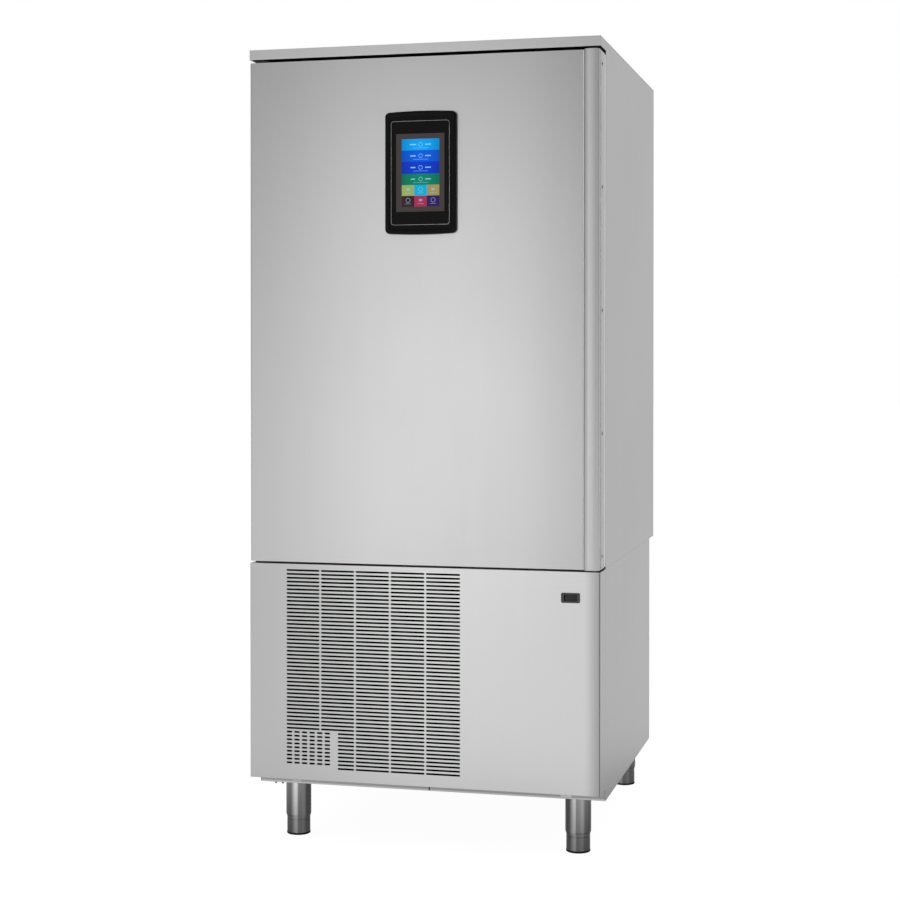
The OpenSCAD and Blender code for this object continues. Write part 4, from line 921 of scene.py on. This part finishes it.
def backScrewPlaces():
    low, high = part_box("side_panel_right")
    baseLow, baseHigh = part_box("base_back_panel")
    places = bothSides(high.x - backScrews["inset"], high.y, low, high,
                       backScrews["ends"], backScrews["count"])
    places += bothSides(baseHigh.x - backScrews["baseInset"], baseHigh.y, baseLow, baseHigh,
                        backScrews["baseEnds"], backScrews["baseCount"])
    across, top = backScrews["topAcross"], baseHigh.z - backScrews["topDrop"]
    return places + [(x, baseHigh.y, top) for x in spread(-across, across, backScrews["topCount"])]


def fanPanelScrewPlaces():
    low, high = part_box("fan_panel")
    places = bothSides(high.x - fanScrews["inset"], low.y, low, high, fanScrews["ends"], fanScrews["count"])
    guardLow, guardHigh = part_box("fan_guards")
    radius = (guardHigh.x - guardLow.x) / 2
    reach = radius * fanScrews["diagonal"] + fanScrews["past"]
    for z in (guardLow.z + radius, guardHigh.z - radius):
        places += [(sx * reach, low.y, z + sz * reach) for sx in (-1, 1) for sz in (-1, 1)]
    return places


fasteners = {  # name: slot, finish, places, and width, height, sides, crown, washer's radius and turn
    "legBolts": ("black_paint", blackPaint, legBoltPlaces(), (0.011, 0.0055, 6, 0.92, 0.0085, toFloor)),
    "trayClips": ("black_paint", blackPaint, [(x, y, trayUnder) for x, y in trayClips],
                  (0.0055, 0.0038, 8, 0.8, 0.0034, toFloor)),
    "backScrews": ("brushed_stainless", steel["turned"], backScrewPlaces(),
                   (0.008, 0.0022, 20, 0.62, 0.0046, toBack)),
    "fanPanelScrews": ("liner_stainless", steel["turned"], fanPanelScrewPlaces(),
                       (0.007, 0.0022, 20, 0.62, 0.0042, toFront)),
}
fastener = fastenerRecipe()
labels = ("Across", "Height", "Sides", "Crown", "Washer", "Turn")
for name, (slot, finish, places, sizes) in fasteners.items():
    cook(fastener, name, "cabinet", finish, dict(zip(labels, sizes)), places)
print("fasteners placed:", len(fasteners), "kinds")


# Fin packs: thin plates between the coils' own, stood clear of them.

finPacks = {  # name: node, pitch, how far it stays inside the coil's front, back and foot
    "evaporatorFins": ("evaporator_coil", 0.0050, 0.001, 0.013, 0.071),
    "condenserFins": ("condenser_coil", 0.0040, 0.001, 0.001, 0.043),
}
fin = {"thickness": 0.0002, "top": 0.001, "ends": 0.030}


def finRecipe():
    made = Recipe("finPack", {"Count": 10, "Start": (0.0, 0.0, 0.0), "Step": (0.005, 0.0, 0.0),
                              "Plate": (0.0002, 0.08, 0.8)})
    plate = made.add("GeometryNodeMeshCube", None, {"Size": made.put("Plate")})
    row = made.add("GeometryNodeMeshLine", {"mode": "OFFSET"},
                   {"Count": made.put("Count"), "Start Location": made.put("Start"),
                    "Offset": made.put("Step")})
    return made.close(made.add("GeometryNodeInstanceOnPoints", None, {"Points": row, "Instance": plate}))


finRow = finRecipe()
for name, (node, pitch, inFront, behind, under) in finPacks.items():
    low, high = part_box(node)
    front, back = low.y + inFront, high.y - behind
    foot, top = low.z + under, high.z - fin["top"]
    count = int((high.x - low.x - fin["ends"]) / pitch)
    start = ((low.x + high.x - (count - 1) * pitch) / 2, (front + back) / 2, (foot + top) / 2)
    cook(finRow, name, "cabinet", finishOf[node],
         {"Count": count, "Start": start, "Step": (pitch, 0.0, 0.0),
          "Plate": (fin["thickness"], back - front, top - foot)})
print("fin packs filled:", len(finPacks))


# Camera: fitted to the photo's edges; yaw and pitch in radians, focal length and sensor in millimetres.

view = {"place": (1.0350, -4.2708, 1.0827), "yaw": 0.2459, "pitch": 0.008, "focal": 73.49, "sensor": 36,
        "shift": -0.0837, "farthest": 100}
camera = bpy.data.objects.new("camera", bpy.data.cameras.new("camera"))
scene.collection.objects.link(camera)
scene.camera = camera
camera.location = view["place"]
ahead = Vector((-math.sin(view["yaw"]) * math.cos(view["pitch"]),
                math.cos(view["yaw"]) * math.cos(view["pitch"]), -math.sin(view["pitch"])))
camera.rotation_mode = "QUATERNION"
camera.rotation_quaternion = ahead.to_track_quat("-Z", "Y")
camera.data.sensor_width, camera.data.lens, camera.data.shift_y = view["sensor"], view["focal"], view["shift"]
camera.data.clip_end = view["farthest"]

# Floor: white to the camera, with a faint shade under the machine. In the metal's reflections it carries a
# painted shade close to the machine and is paler farther off.

ground = {"half": 40, "glow": 0.945, "soft": 0.10, "ahead": 0.80, "behind": 0.74, "shaded": 0.22,
          "from": 0.50, "to": 1.10, "backFrom": -0.4, "backTo": 0.8}
half = ground["half"]
floorMesh = bpy.data.meshes.new("studioFloor")
floorMesh.from_pydata([(-half, -half, 0), (half, -half, 0), (half, half, 0), (-half, half, 0)],
                      [], [(0, 1, 2, 3)])
floor = bpy.data.objects.new("studioFloor", floorMesh)
scene.collection.objects.link(floor)
paleFloor = Finish("paleFloor", {"Base Color": (ground["soft"],) * 3 + (1,), "Roughness": 0.9,
                                 "Specular IOR Level": 0.0, "Emission Strength": 1.0})
place = paleFloor.coordinates()
away = paleFloor.add("ShaderNodeVectorMath", {"operation": "LENGTH"}, {0: place}, out="Value")
mirrored = paleFloor.add("ShaderNodeLightPath", out="Is Glossy Ray")
distant = paleFloor.ease(away, ground["from"], ground["to"])
backward = paleFloor.ease(paleFloor.axes(place)[1], ground["backFrom"], ground["backTo"])
clear = ground["ahead"] + backward * (ground["behind"] - ground["ahead"])
seenLevel = ground["shaded"] + distant * (clear - ground["shaded"])
paleFloor.feed(glow=paleFloor.shade((1, 1, 1), ground["glow"] + mirrored * (seenLevel - ground["glow"])))
floorMesh.materials.append(paleFloor.material)

# Room: white to the camera, even for soft light, and a ring of greys in reflections. The ring starts behind
# the cabinet and runs by its left, the front and the right.

room = {
    "fill": 1.12, "ceiling": 0.46, "overhead": (0.45, 0.95),
    "roundabout": [(0.0, 0.98), (0.05, 0.90), (0.12, 0.22), (0.18, 0.10), (0.25, 0.34), (0.34, 0.42),
                   (0.50, 0.29), (0.62, 0.30), (0.70, 0.30), (0.80, 0.28), (0.88, 0.36), (0.94, 0.92),
                   (1.0, 0.98)],
}
scene.world = bpy.data.worlds.new("studio")
scene.world.use_nodes = True
air = Graph(scene.world.node_tree)
air.tree.nodes.clear()
x, y, z = air.axes(air.add("ShaderNodeTexCoord", out="Generated"))
bearing = air.sum("ARCTAN2", x, y * -1) / math.tau + 0.5
flank = air.add("ShaderNodeValToRGB", {"stops": room["roundabout"]}, {"Fac": bearing})
upward = air.ease(z, *room["overhead"])
mirror = flank * (1 - upward) + upward * room["ceiling"]
glossy = air.add("ShaderNodeLightPath", out="Is Glossy Ray")
seen = air.add("ShaderNodeLightPath", out="Is Camera Ray")
backdrop = air.add("ShaderNodeBackground", None, {"Color": (1, 1, 1, 1), "Strength": 1.0})
ambient = air.add("ShaderNodeBackground", None, {"Color": (1, 1, 1, 1),
                                                 "Strength": glossy * mirror + (1 - glossy) * room["fill"]})
mixed = air.add("ShaderNodeMixShader", None, {0: seen, 1: ambient, 2: backdrop})
air.add("ShaderNodeOutputWorld", None, {"Surface": mixed})

lamps = {  # name: place, target, width, height, watts
    "overhead": ((0.0, -0.6, 4.6), (0.0, -0.2, 0.0), 4.5, 4.5, 25),
    "strip": ((-1.25, -5.3, 1.25), (0.0, -0.4, 1.15), 0.55, 2.4, 12.5),
}
for name, (place, target, width, height, watts) in lamps.items():
    lamp = bpy.data.lights.new(name, "AREA")
    lamp.shape, lamp.size, lamp.size_y, lamp.energy = "RECTANGLE", width, height, watts
    made = bpy.data.objects.new(name, lamp)
    scene.collection.objects.link(made)
    made.location = place
    made.rotation_mode = "QUATERNION"
    made.rotation_quaternion = (Vector(target) - Vector(place)).to_track_quat("-Z", "Y")
scene.view_settings.view_transform = "Standard"
print("studio set:", len(lamps), "lamps")
